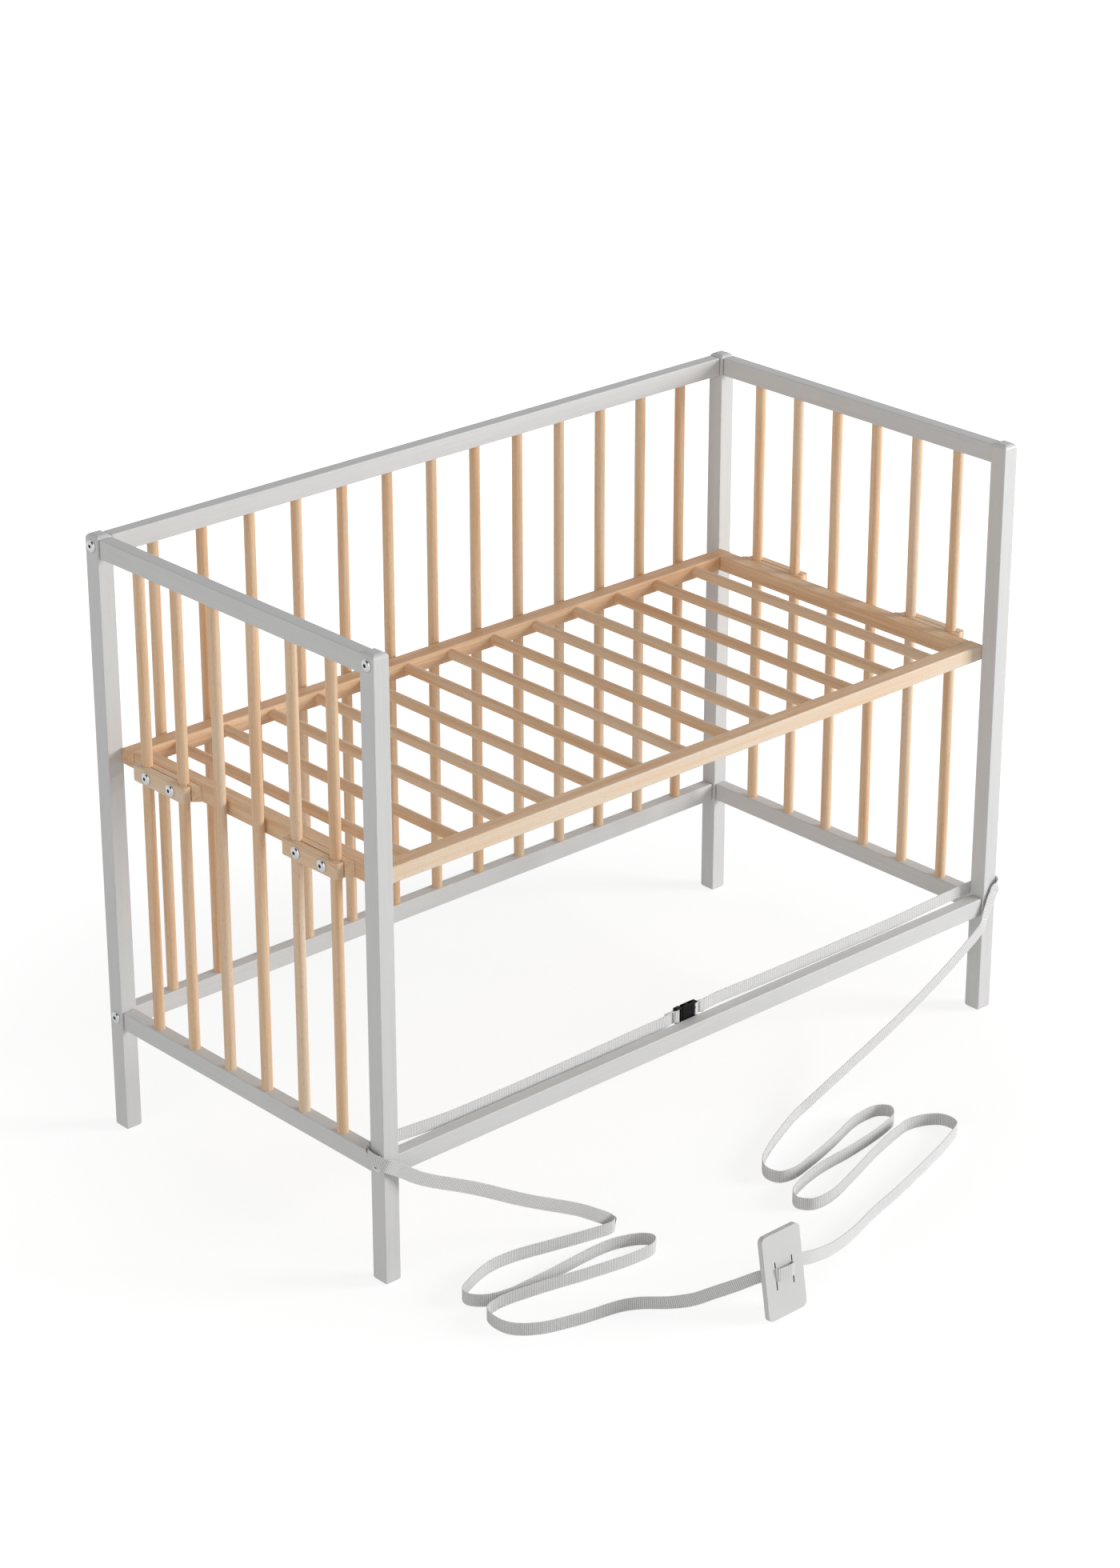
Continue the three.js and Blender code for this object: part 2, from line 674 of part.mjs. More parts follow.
// Taut webbing from behind a post to its end bar in the buckle, with the tail folded back.
function tautStrap(sign_x, end_x, sag) {
  const inward = -sign_x;
  const off = touch_gap + strap_thick / 2;
  const half_bar = buckle_end_bar / 2;
  const bar_x = end_x + inward * half_bar;
  const near = -bar_thick / 2 - off;
  const straight = strap_y - buckle_y;
  const start_x = sign_x * (post_center_x - touch_gap / 2);
  const front = end_bar_turn.map(([bar, out, back]) => [
    bar_x + inward * (bar * half_bar + out * off), near + back * off,
  ]);
  const points = [
    [start_x, straight, 0],
    [start_x + inward * post_x, straight, 0],
    ...sag.map(([x, drop]) => [x, straight, drop]),
    [bar_x + 3 * sign_x * strap_tail, (straight + near) / 2],
    [bar_x + sign_x * strap_tail, near],
    ...front,
    ...front.toReversed().map(([x, y]) => [x, -y]),
    [bar_x + sign_x * strap_tail / 2, -near],
    [bar_x + sign_x * strap_tail, -near],
  ];
  return strap(points.map(([x, y, drop]) => new THREE.Vector3(
    x, buckle_y + y, strap_z - (drop ?? buckle_drop))));
}
place('strap_inner_left', tautStrap(-1, buckle_left, left_sag), webbing, 0, 0, 0);
place('strap_inner_right', tautStrap(1, buckle_right, []), webbing, 0, 0, 0);

// Anchor plate with two slits, which stands on the floor and leans back
function anchorPlate() {
  const shape = roundedRectangle(plate_wide, plate_high, plate_corner);
  const slit_wide = strap_thick + 2 * touch_gap;
  let solid = solidOf(drawnOut(shape, plate_thick, plate_edge));
  for (const side of [-1, 1]) {
    const x = side * slit_spacing / 2;
    const y = slit_lift - plate_high / 2;
    solid = solid.subtract(block(slit_wide, slit_length, 2 * plate_thick, x, y, 0));
  }
  return geometryOf(solid.translate([0, plate_high / 2, plate_thick / 2]));
}
const plate = place('anchor_plate', anchorPlate(), plate_grey, plate_center_x, plate_foot_y, 0);
plate.rotation.x = Math.PI / 2 - plate_lean;

// A point of the plate's own frame: along its width, up its face, and out of its back.
function onPlate(across, up, out) {
  const y = plate_foot_y + up * Math.sin(plate_lean) - out * Math.cos(plate_lean);
  const z = up * Math.cos(plate_lean) + out * Math.sin(plate_lean);
  return new THREE.Vector3(plate_center_x + across, y, z);
}

// The webbing's way round the outside of a post, as distances out from the post's front outer
// corner, back from it, and up from the floor. It starts where the taut webbing ends.
const wrap_start = [
  [(touch_gap - post_x) / 2, post_y + touch_gap + strap_thick / 2, strap_z],
  [-7, post_y + touch_gap + strap_thick / 2, strap_z],
];
const left_wrap = [
  [-1.5, 23.6, 162.2], [2.3, 21, 161.8], [2.4, 11.2, 158.8],
  [2.3, 2.7, 155], [-1, -2.3, 151.5],
];
const right_wrap = [
  [-1.5, 23.8, 163.2], [2.2, 21.4, 165.6], [2.1, 10, 167.8],
  [2.4, 2, 166.5], [-0.2, -3.2, 161], [-12, -4.8, 142],
];

// Free webbing from the left post to the anchor plate. Points on the floor have no height.
const left_route = [
  [-474, -252, 141], [-449, -259, 124], [-387, -276, 95], [-328, -293, 64], [-264, -310, 34],
  [-244, -316, 22], [-229, -320.5, 12], [-225.5, -325.5], [-232, -329.5], [-261, -325],
  [-309, -313], [-357, -301.5], [-391, -301], [-429, -313], [-448, -323], [-451, -334],
  [-441, -348], [-417, -357], [-361, -358], [-257, -357], [-224, -372], [-219, -383],
  [-229, -393], [-258, -394], [-317, -384], [-379, -370], [-431, -363], [-453, -369],
  [-460, -387], [-456, -410], [-434, -430], [-391, -445], [-328, -461], [-299, -492, 12],
  [-286, -513, 20], [-270, -530, 30], [-253, -547, 40], [-237, -559, 47.5],
];

// Free webbing from the right post to the anchor plate
const right_route = [
  [463, -250, 120], [435, -252, 104], [384, -257, 83], [297, -266, 55], [205, -275, 31],
  [136, -282, 14], [114, -284, 8], [58, -306], [8, -331], [-11, -345], [-20, -361], [-16, -377],
  [2, -382], [32, -377], [82, -364], [139, -346], [161, -343], [180, -345], [190, -356],
  [182, -370], [155, -380], [92, -390], [31, -395], [-13, -406], [-35, -417], [-42, -431],
  [-32, -445], [-5, -447], [49, -431], [107, -411], [162, -396], [183, -393], [206, -399],
  [221, -413], [220, -434], [197, -447], [65, -489], [6, -504], [-40, -519, 9],
  [-107, -546, 25], [-157, -562, 42], [-176, -564, 48],
];

// The webbing in the plate: in through the left slit, over the front, out through the right slit
const weave = [
  [-17.5, -2.9], [-14.6, -2.2], [-13, -1.2], [-12.6, 0.4], [-12.6, 6.6], [-12, 8.2], [-10.2, 9.2],
  [0, 10], [10.2, 9.2], [12, 8.2], [12.6, 6.6], [12.6, 0.4], [13, -1.2], [14.6, -2.2],
  [17.5, -2.9],
];

function wrapPoints(offsets, sign_x) {
  return [...wrap_start, ...offsets].map(([out, back, z]) => new THREE.Vector3(
    sign_x * (crib_length / 2 + out), -crib_width / 2 + back, z));
}

function routePoints(route) {
  return route.map(([x, y, z]) => new THREE.Vector3(x, y, z ?? strap_floor_z));
}

const weave_points = weave.map(([across, out]) => onPlate(across, strap_in_slit_lift, out));
const left_points = [...wrapPoints(left_wrap, -1), ...routePoints(left_route), ...weave_points];
const right_points = [...wrapPoints(right_wrap, 1), ...routePoints(right_route)];

// The right webbing comes straight up to the end of the left one, behind the plate.
const weave_end = weave_points.at(-1);
const leaving = weave_end.clone().sub(weave_points.at(-2)).normalize();
for (const distance of [strap_straight_end, touch_gap]) {
  right_points.push(weave_end.clone().addScaledVector(leaving, distance));
}
place('strap_free_left', strap(left_points), webbing, 0, 0, 0);
place('strap_free_right', strap(right_points), webbing, 0, 0, 0);

export default crib;
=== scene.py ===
"""A bedside crib of grey painted and natural wood, tied to the parents' bed by a webbing strap."""

from math import cos, pi, radians, sin

import bmesh
import bpy
from mathutils import Matrix, Vector


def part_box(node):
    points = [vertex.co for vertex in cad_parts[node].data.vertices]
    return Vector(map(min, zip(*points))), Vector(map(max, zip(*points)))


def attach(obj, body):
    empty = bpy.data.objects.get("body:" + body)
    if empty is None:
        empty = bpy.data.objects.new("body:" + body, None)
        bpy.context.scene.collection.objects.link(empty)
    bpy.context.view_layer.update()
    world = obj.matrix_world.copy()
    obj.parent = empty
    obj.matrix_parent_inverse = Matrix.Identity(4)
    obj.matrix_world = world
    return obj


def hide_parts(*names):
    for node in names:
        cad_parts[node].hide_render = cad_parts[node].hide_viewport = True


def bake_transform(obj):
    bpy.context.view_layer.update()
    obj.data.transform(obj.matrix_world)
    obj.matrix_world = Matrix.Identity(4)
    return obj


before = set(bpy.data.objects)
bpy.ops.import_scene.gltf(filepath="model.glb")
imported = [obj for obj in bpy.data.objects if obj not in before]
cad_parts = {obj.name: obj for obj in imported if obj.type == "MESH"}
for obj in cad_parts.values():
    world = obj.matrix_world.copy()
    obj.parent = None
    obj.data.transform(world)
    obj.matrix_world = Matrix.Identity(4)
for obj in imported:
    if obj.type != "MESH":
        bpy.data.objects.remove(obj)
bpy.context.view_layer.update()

# The view. The camera stands in front of the crib's left end, well above it, and looks down on it
# with a long lens, as the photograph was taken.
CAMERA_PLACE = (-2.7795, -3.0213, 2.1977)
LOOKS_DOWN = radians(24.008)
LOOKS_RIGHT = radians(42.518)
LENS = 123.58

lens = bpy.data.cameras.new("view")
lens.sensor_fit = "HORIZONTAL"
lens.sensor_width = 36
lens.lens = LENS
camera = bpy.data.objects.new("view", lens)
camera.location = CAMERA_PLACE
camera.rotation_euler = (pi / 2 - LOOKS_DOWN, 0, -LOOKS_RIGHT)
bpy.context.collection.objects.link(camera)
bpy.context.scene.camera = camera

# The webbing of the strap: a flat grey ribbon, 16 mm wide, woven with ribs across it that leave
# small teeth along both edges. It stands on its edge wherever the crib or the floor lets it.
MM = 0.001
STRAP_WIDE = 0.016
STRAP_THICK = 0.0012
STRAP_FLOOR_GAP = 0.0001
RIB_PITCH = 0.0022
YARN_PITCH = 0.0013
STEPS_PER_RIB = 4
TOOTH = 0.0003
EDGE_ROUND = 0.35
FLAT_BELOW = radians(30)
WEBBING_LIGHT = (0.86, 0.86, 0.855, 1)
WEBBING_DARK = (0.48, 0.48, 0.475, 1)
WEBBING_TONES = [(0.25, WEBBING_DARK), (0.58, WEBBING_LIGHT)]
WEBBING_ROUGHNESS = 0.85
FLUFF_STRETCH = (900, 1400, 1)
YARN_TONE = 0.16
RIB_TONE = 0.2
FLUFF_TONE = 0.4
MIDDLE_TONE = 0.3
WEAVE_DEPTH = 0.0004


class Shade:
    """A value that a shader works out. Sums and products of shades add their own nodes."""

    def __init__(self, tree, socket=None):
        self.tree = tree
        self.socket = socket

    def node(self, kind, values, output=0, stops=None, **settings):
        """A node of the shader, with its settings and then the values or links of its sockets."""
        node = self.tree.nodes.new(kind)
        for setting, value in settings.items():
            setattr(node, setting, value)
        if stops:
            ramp = node.color_ramp.elements
            ramp[0].position, ramp[0].color = stops[0]
            ramp[1].position, ramp[1].color = stops[-1]
            for place, color in stops[1:-1]:
                ramp.new(place).color = color
        for name, value in values.items():
            if isinstance(value, Shade):
                self.tree.links.new(value.socket, node.inputs[name])
            else:
                node.inputs[name].default_value = value
        return Shade(self.tree, node.outputs[output])

    def other(self, output):
        """Another output of the same node."""
        return Shade(self.tree, self.socket.node.outputs[output])

    def maths(self, operation, first, second):
        """One operation on two values."""
        return self.node("ShaderNodeMath", {0: first, 1: second}, operation=operation)

    def __add__(self, other):
        return self.maths("ADD", self, other)

    def __sub__(self, other):
        return self.maths("SUBTRACT", self, other)

    def __rsub__(self, other):
        return self.maths("SUBTRACT", other, self)

    def __mul__(self, other):
        return self.maths("MULTIPLY", self, other)

    __radd__ = __add__
    __rmul__ = __mul__

    def __gt__(self, other):
        return self.maths("GREATER_THAN", self, other)

    def clamped(self):
        """This value, kept from 0 to 1."""
        return self.node("ShaderNodeClamp", {"Value": self})

    def wave(self, length):
        """A wave from -1 to 1 that repeats over a length of this value."""
        return self.node("ShaderNodeMath", {0: self * (2 * pi / length)}, operation="SINE")

    def between(self, first, second):
        """The colour between two others, by this share."""
        values = {0: self, 6: first, 7: second}
        return self.node("ShaderNodeMix", values, output=2, data_type="RGBA")

    def from_to(self, low, high):
        """The number between two others, by this share."""
        return self * (high - low) + low

    def ramp(self, stops):
        """The colour at this value, from a row of places and their colours."""
        return self.node("ShaderNodeValToRGB", {"Fac": self}, stops=stops)

    def place(self):
        """The place on the piece, in metres."""
        return self.node("ShaderNodeTexCoord", {}, output="Object")

    def noise(self, place, scale, detail=2.0, roughness=0.5):
        """Noise from 0 to 1 at a place."""
        values = {"Vector": place, "Scale": scale, "Detail": detail, "Roughness": roughness}
        return self.node("ShaderNodeTexNoise", values)

    def streaked(self, place, stretch, detail=2.0, roughness=0.5):
        """Noise with its spots drawn out, by about how many there are to a metre each way."""
        place = self.node("ShaderNodeMapping", {"Vector": place, "Scale": stretch})
        return self.noise(place, 1.0, detail, roughness)


def finish_of(name, roughness=0.5, metallic=0.0):
    """A new material, its surface shader and the shade that starts its nodes."""
    material = bpy.data.materials.new(name)
    material.use_nodes = True
    surface = material.node_tree.nodes["Principled BSDF"]
    surface.inputs["Roughness"].default_value = roughness
    surface.inputs["Metallic"].default_value = metallic
    return material, surface, Shade(material.node_tree)


def joined(shade, surface, socket):
    """Leads a shade into a socket of the surface shader."""
    shade.tree.links.new(shade.socket, surface.inputs[socket])


def bumped(surface, height, distance):
    """Raises the surface by a shade."""
    bump = height.node("ShaderNodeBump", {"Height": height, "Distance": distance, "Strength": 1.0})
    joined(bump, surface, "Normal")


webbing, surface, shade = finish_of("webbing", WEBBING_ROUGHNESS)
ribbon = shade.node("ShaderNodeUVMap", {}, uv_map="ribbon")
along = shade.node("ShaderNodeSeparateXYZ", {"Vector": ribbon}, output="X")
ribs = along.wave(RIB_PITCH)
yarns = along.other("Y").wave(YARN_PITCH)
fluff = shade.streaked(ribbon, FLUFF_STRETCH)
woven = ribs * yarns * YARN_TONE + ribs * RIB_TONE
weave = (woven + fluff * FLUFF_TONE + MIDDLE_TONE).clamped()
joined(weave.ramp(WEBBING_TONES), surface, "Base Color")
bumped(surface, weave, WEAVE_DEPTH)


def alone(piece):
    """Leaves one piece selected and active."""
    bpy.ops.object.select_all(action="DESELECT")
    piece.select_set(True)
    bpy.context.view_layer.objects.active = piece


def round_line(points, steps=24):
    """Close points on the smooth line through a few points, the same line as the solids'."""
    line = []
    ends = [2 * points[0] - points[1], *points, 2 * points[-1] - points[-2]]
    for a, b, c, d in zip(ends, ends[1:], ends[2:], ends[3:]):
        before, here, after = [(q - p).length ** 0.5 for p, q in ((a, b), (b, c), (c, d))]
        lead = ((b - a) / before - (c - a) / (before + here) + (c - b) / here) * here
        trail = ((c - b) / here - (d - b) / (here + after) + (d - c) / after) * here
        for i in range(steps):
            t = i / steps
            line.append(
                b * (2 * t**3 - 3 * t**2 + 1)
                + lead * (t**3 - 2 * t**2 + t)
                + c * (3 * t**2 - 2 * t**3)
                + trail * (t**3 - t**2)
            )
    return [*line, points[-1]]


def evenly(line, gap):
    """The same line, with its points an even distance apart."""
    lengths = [0.0]
    for p, q in zip(line, line[1:]):
        lengths.append(lengths[-1] + (q - p).length)
    count = max(2, round(lengths[-1] / gap))
    even = []
    at = 0
    for i in range(count + 1):
        wanted = lengths[-1] * i / count
        while at < len(line) - 2 and lengths[at + 1] < wanted:
            at += 1
        share = (wanted - lengths[at]) / (lengths[at + 1] - lengths[at])
        even.append(line[at].lerp(line[at + 1], share))
    return even


def ribbon_mesh(name, line):
    """Webbing that stands on its edge along a line, with its ribs' teeth on both edges."""
    shape = bmesh.new()
    uv = shape.loops.layers.uv.new("ribbon")
    rings = []
    step = (line[1] - line[0]).length
    last = len(line) - 1
    for i, middle in enumerate(line):
        onward = (line[min(i + 1, last)] - line[max(i - 1, 0)]).normalized()
        wide = (Vector((0, 0, 1)) - onward * onward.z).normalized()
        flat = onward.cross(wide)
        half = STRAP_WIDE / 2 - TOOTH / 2 + TOOTH * sin(2 * pi * i / STEPS_PER_RIB)
        thick = STRAP_THICK / 2
        round_edge = EDGE_ROUND * STRAP_THICK
        outline = [(-half, 0), (-half + round_edge, -thick), (half - round_edge, -thick)]
        outline += [(half, 0), (half - round_edge, thick), (-half + round_edge, thick)]
        rings.append([(shape.verts.new(middle + wide * w + flat * t), w) for w, t in outline])
    for i, (ring, following) in enumerate(zip(rings, rings[1:])):
        for side in range(6):
            other = (side + 1) % 6
            corners = [ring[side], ring[other], following[other], following[side]]
            face = shape.faces.new([vert for vert, _ in corners])
            for loop, (_, w), ahead in zip(face.loops, corners, (0, 0, 1, 1)):
                loop[uv].uv = ((i + ahead) * step, w)
    shape.faces.new([vert for vert, _ in reversed(rings[0])])
    shape.faces.new([vert for vert, _ in rings[-1]])
    bmesh.ops.recalc_face_normals(shape, faces=shape.faces)
    mesh = bpy.data.meshes.new(name)
    shape.to_mesh(mesh)
    shape.free()
    piece = bpy.data.objects.new(name, mesh)
    bpy.context.collection.objects.link(piece)
    alone(piece)
    bpy.ops.object.shade_smooth_by_angle(angle=FLAT_BELOW)
    piece.data.materials.append(webbing)
    return piece


# The free webbing, one length. From behind each front post it goes round the outside of the post,
# down to the floor and in loose folds to the anchor plate, where it runs through both slits.
post_low, post_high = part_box("post_front_left")
right_low, right_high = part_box("post_front_right")
rail_low, rail_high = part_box("front_bottom_rail")
half_post = (right_high.x - right_low.x) / 2
TOUCH_GAP = 0.0003
STRAP_Z = rail_high.z + TOUCH_GAP + STRAP_WIDE / 2
STRAP_FLOOR_Z = STRAP_WIDE / 2 + STRAP_FLOOR_GAP
STRAP_BACK = post_high.y - post_low.y + TOUCH_GAP + STRAP_THICK / 2
PLATE_LEAN = radians(9.4)
PLATE_PLACE = (-0.210, -0.5752)
PLATE_SIZE = (0.057, 0.098, 0.0068)
POST_TURN = 0.007

# Millimetres out from the post's outer side, back from its front, and up from the floor
LEFT_WRAP = [
    (-1.5, 23.6, 161.6), (3.9, 22.2, 156.6), (5.4, 13, 155.2), (4, 3.4, 153.8), (-0.6, -2.8, 150.6),
]
RIGHT_WRAP = [
    (-1.5, 23.8, 164), (1.8, 21.4, 167.4), (1.5, 10, 170.8), (1.6, 2, 171), (0.4, -1.7, 169),
    (-6, -2.6, 160), (-13, -2.8, 146), (-20, -3.4, 132),
]

# Millimetres from the middle of the crib. Points on the floor have no height.
LEFT_ROUTE = [
    (-474, -252, 141), (-449, -259, 124), (-387, -276, 95), (-328, -293, 64), (-264, -310, 34),
    (-244, -316, 22), (-229, -320.5, 12), (-225.5, -325.5), (-232, -329.5), (-261, -325),
    (-309, -313), (-357, -301.5), (-391, -301), (-429, -313), (-448, -323), (-451, -334),
    (-441, -348), (-417, -357), (-361, -358), (-257, -357), (-224, -372), (-219, -383),
    (-229, -393), (-258, -394), (-317, -384), (-379, -370), (-431, -363), (-453, -369),
    (-460, -387), (-456, -410), (-434, -430), (-391, -445), (-328, -461), (-299, -492, 12),
    (-286, -513, 20), (-270, -530, 30), (-253, -547, 40), (-237, -559, 47.5),
]
RIGHT_ROUTE = [
    (463, -250, 120), (435, -252, 104), (384, -257, 83), (297, -266, 55), (205, -275, 31),
    (136, -282, 14), (114, -284, 8), (58, -306), (8, -331), (-11, -345), (-20, -361), (-16, -377),
    (2, -382), (32, -377), (82, -364), (139, -346), (161, -343), (180, -345), (190, -356),
    (182, -370), (155, -380), (92, -390), (31, -395), (-13, -406), (-35, -417), (-42, -431),
    (-32, -445), (-5, -447), (49, -431), (107, -411), (162, -396), (183, -393), (206, -399),
    (221, -413), (220, -434), (197, -447), (65, -489), (6, -504), (-40, -519, 9),
    (-107, -546, 25), (-157, -562, 42), (-176, -564, 48),
]

# Millimetres up the plate at which the webbing goes through it
STRAP_IN_SLIT_LIFT = 50.5

# Millimetres across the plate from its middle, and out of its front
WEAVE = [
    (-17.5, -2.9), (-14.6, -2.2), (-13, -1.2), (-12.6, 0.4), (-12.6, 6.6), (-12, 8.3), (-10, 9.5),
    (0, 10.8), (7, 11.4), (11, 10.5), (12.4, 8.6), (12.6, 6.6), (12.6, 0.4), (13, -1.2),
    (14.6, -2.2), (17.5, -2.9),
]


def on_plate(across_plate, up, out):
    """A point of the leaning plate, in millimetres of its own width, height and thickness."""
    y = PLATE_PLACE[1] + MM * (up * sin(PLATE_LEAN) - out * cos(PLATE_LEAN))
    z = MM * (up * cos(PLATE_LEAN) + out * sin(PLATE_LEAN))
    return Vector((PLATE_PLACE[0] + MM * across_plate, y, z))


def round_post(side, offsets):
    """The webbing's points from behind a post, round its outside, to its front."""
    outer = right_high.x if side > 0 else post_low.x
    points = [Vector((outer - side * half_post, post_low.y + STRAP_BACK, STRAP_Z))]
    points.append(Vector((outer - side * POST_TURN, post_low.y + STRAP_BACK, STRAP_Z)))
    for out, back, z in offsets:
        points.append(Vector((outer + side * MM * out, post_low.y + MM * back, MM * z)))
    return points


def over_floor(route):
    """The webbing's points over the floor."""
    return [Vector((MM * x, MM * y, MM * z[0] if z else STRAP_FLOOR_Z)) for x, y, *z in route]


weave_points = [on_plate(across_plate, STRAP_IN_SLIT_LIFT, out) for across_plate, out in WEAVE]
left_points = round_post(-1, LEFT_WRAP) + over_floor(LEFT_ROUTE)
right_points = round_post(1, RIGHT_WRAP) + over_floor(RIGHT_ROUTE)
strap_points = left_points + weave_points + right_points[::-1]
strap_line = evenly(round_line(strap_points), RIB_PITCH / STEPS_PER_RIB)
strap_line = [Vector((*p.xy, max(p.z, STRAP_FLOOR_Z))) for p in strap_line]
free_strap = ribbon_mesh("free_strap", strap_line)
strap_length = sum((q - p).length for p, q in zip(strap_line, strap_line[1:]))
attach(free_strap, "frame")
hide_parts("strap_free_left", "strap_free_right")

# The taut webbing. It stands on the end rails behind the front posts and hangs a little between
# them. Each length goes round the end bar of its half of the buckle, its cut end folded back.
HOLLOW_SHORTER = 0.0035
hollow_low, hollow_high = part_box("buckle_female")
hollow_high.x -= HOLLOW_SHORTER
pronged_low, pronged_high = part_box("buckle_male")
BUCKLE_Y = (hollow_low.y + hollow_high.y) / 2
BUCKLE_Z = (hollow_low.z + hollow_high.z) / 2
HOLLOW_BAR = 0.0032
PRONGED_BAR = 0.0043
END_BAR_INSET = 0.0003
FOLD_RISE = 0.0005
LEFT_LEAD_DROP = 0.0028
RIGHT_LEAD_DROP = -0.0004
RIGHT_TAIL_DROP = 0.003

# How far from the buckle the webbing leans in to it, and the share of the way that is left there
STRAP_LEADS_IN = 0.028
LEAD_IN_SHARE = 0.6

# Out and back round the edge of the end bar, in times the webbing's distance from it
END_BAR_TURN = [(0.3, -0.5), (0.85, 0.5), (1, 1.3)]

# Millimetres out from the end of the buckle's half, and off the middle of its thickness
LOOP = [(14.5, 0.65), (3.6, 0.65), (2, 1), (0.3, 2.15), (-1.2, 2.4)]

# Millimetres along the crib, and how far the webbing hangs down there
LEFT_SAG = [(-380, 5.3), (-308, 6.2), (-213, 5.7), (-139, 4.9), (-80, 4.1)]
RIGHT_SAG = [(390, 1.5), (340, 3), (260, 3.1), (180, 3), (100, 2.3)]
buckle_thick = hollow_high.y - hollow_low.y
bar_thick = buckle_thick - 2 * (STRAP_THICK + TOUCH_GAP + END_BAR_INSET)


def taut_strap(name, side, end_x, bar_wide, sag, lead_drop, tail_drop):
    """The webbing from behind one post to the end bar at end_x, and its folded tail."""
    inward = -side
    off = TOUCH_GAP + STRAP_THICK / 2
    bar_x = end_x + inward * bar_wide / 2
    near = -bar_thick / 2 - off
    straight = post_low.y + STRAP_BACK - BUCKLE_Y
    post_x = side * (right_high.x - half_post)
    turn = [
        (bar_x + inward * (bar_wide / 2 + out * off), near + back * off)
        for out, back in END_BAR_TURN
    ]
    loop = [(end_x + side * MM * out, MM * apart) for out, apart in LOOP]
    at_buckle = [
        (end_x + side * STRAP_LEADS_IN, LEAD_IN_SHARE * straight, BUCKLE_Z - lead_drop),
        (loop[0][0], -loop[0][1], BUCKLE_Z - lead_drop / 2),
        *[(x, -y, BUCKLE_Z) for x, y in loop[1:]],
        (bar_x + inward * bar_wide / 4, near - FOLD_RISE, BUCKLE_Z),
        *[(x, y, BUCKLE_Z) for x, y in turn],
        *[(x, -y, BUCKLE_Z) for x, y in reversed(turn)],
        *[(x, y, BUCKLE_Z) for x, y in loop[:0:-1]],
        (loop[0][0], loop[0][1] + TOUCH_GAP, BUCKLE_Z - tail_drop),
    ]
    points = [
        (post_x - side * TOUCH_GAP / 2, straight, STRAP_Z),
        (post_x + inward * 2 * half_post, straight, STRAP_Z),
        *[(MM * x, straight, STRAP_Z - MM * drop) for x, drop in sag],
        *at_buckle,
    ]
    line = round_line([Vector((x, BUCKLE_Y + y, z)) for x, y, z in points])
    return ribbon_mesh(name, evenly(line, RIB_PITCH / STEPS_PER_RIB))


taut_left = taut_strap(
    "taut_strap_left", -1, pronged_low.x, PRONGED_BAR, LEFT_SAG, LEFT_LEAD_DROP, tail_drop=0,
)
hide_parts("strap_inner_left")
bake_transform(taut_left)
taut_right = taut_strap(
    "taut_strap_right", 1, hollow_high.x, HOLLOW_BAR, RIGHT_SAG, RIGHT_LEAD_DROP, RIGHT_TAIL_DROP,
)
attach(taut_right, "frame")
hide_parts("strap_inner_right")

# The posts: square lengths of wood, 21 by 22 mm, painted light grey. The tops are rounded over all
# round and the feet are eased, and the long edges are just broken.
POST_CROWN = 0.006
POST_FOOT = 0.004
POST_EDGE = 0.001
SMOOTH_BELOW = radians(38)
CORNER_ABOVE = radians(25)
SAME_PLACE = 1e-5
PAINT = (0.70, 0.70, 0.695, 1)
PAINT_DEEP = (0.67, 0.67, 0.665, 1)
PAINT_TONES = [(0.35, PAINT_DEEP), (0.55, PAINT)]
PAINT_ROUGHNESS = (0.40, 0.52)
PAINT_DEPTH = 0.0001
GRAIN_SHARE = 0.7
CLOUD_SCALE = 18.0
FINE_SCALE = 900.0
GRAIN_STRETCH = {"x": (7, 320, 320), "y": (320, 7, 320), "z": (320, 320, 7)}


def grey_paint(along_axis):
    """Grey paint that lets the grain of the wood below show a little, along one axis."""
    material, surface, shade = finish_of("grey_paint_" + along_axis)
    place = shade.place()
    grain = shade.streaked(place, GRAIN_STRETCH[along_axis], detail=3.0, roughness=0.6)
    cloud = shade.noise(place, CLOUD_SCALE)
    fine = shade.noise(place, FINE_SCALE, detail=1.0)
    tone = grain * GRAIN_SHARE + cloud * (1 - GRAIN_SHARE)
    joined(tone.ramp(PAINT_TONES), surface, "Base Color")
    joined(grain.from_to(*PAINT_ROUGHNESS), surface, "Roughness")
    bumped(surface, grain * GRAIN_SHARE + fine * (1 - GRAIN_SHARE), PAINT_DEPTH)
    return material


paint = {axis: grey_paint(axis) for axis in "xyz"}


def added(name):
    """The piece that was just added, with its name, and its place and size in its mesh."""
    piece = bpy.context.object
    piece.name = name
    bpy.ops.object.transform_apply(location=True, rotation=True, scale=True)
    return piece


def block(name, low, high):
    """A squared length of material between two corners, as the start of a piece."""
    low, high = Vector(low), Vector(high)
    bpy.ops.mesh.primitive_cube_add(size=1, location=(low + high) / 2, scale=high - low)
    return added(name)


def pick(piece, kind, wanted):
    """Goes into edit mode on a piece and selects the edges or faces that are wanted."""
    alone(piece)
    bpy.ops.object.mode_set(mode="EDIT")
    bpy.ops.mesh.select_mode(type=kind)
    bpy.ops.mesh.select_all(action="DESELECT")
    shape = bmesh.from_edit_mesh(piece.data)
    for part in shape.edges if kind == "EDGE" else shape.faces:
        part.select_set(bool(wanted(part)))
    bmesh.update_edit_mesh(piece.data)


def done():
    """Leaves edit mode."""
    bpy.ops.object.mode_set(mode="OBJECT")


def runs(edge, axis):
    """Whether an edge runs along one axis."""
    return abs((edge.verts[1].co - edge.verts[0].co).normalized()[axis]) > 0.99


def in_plane(part, axis, place):
    """Whether an edge or face lies across an axis at one place."""
    return all(abs(vert.co[axis] - place) < SAME_PLACE for vert in part.verts)


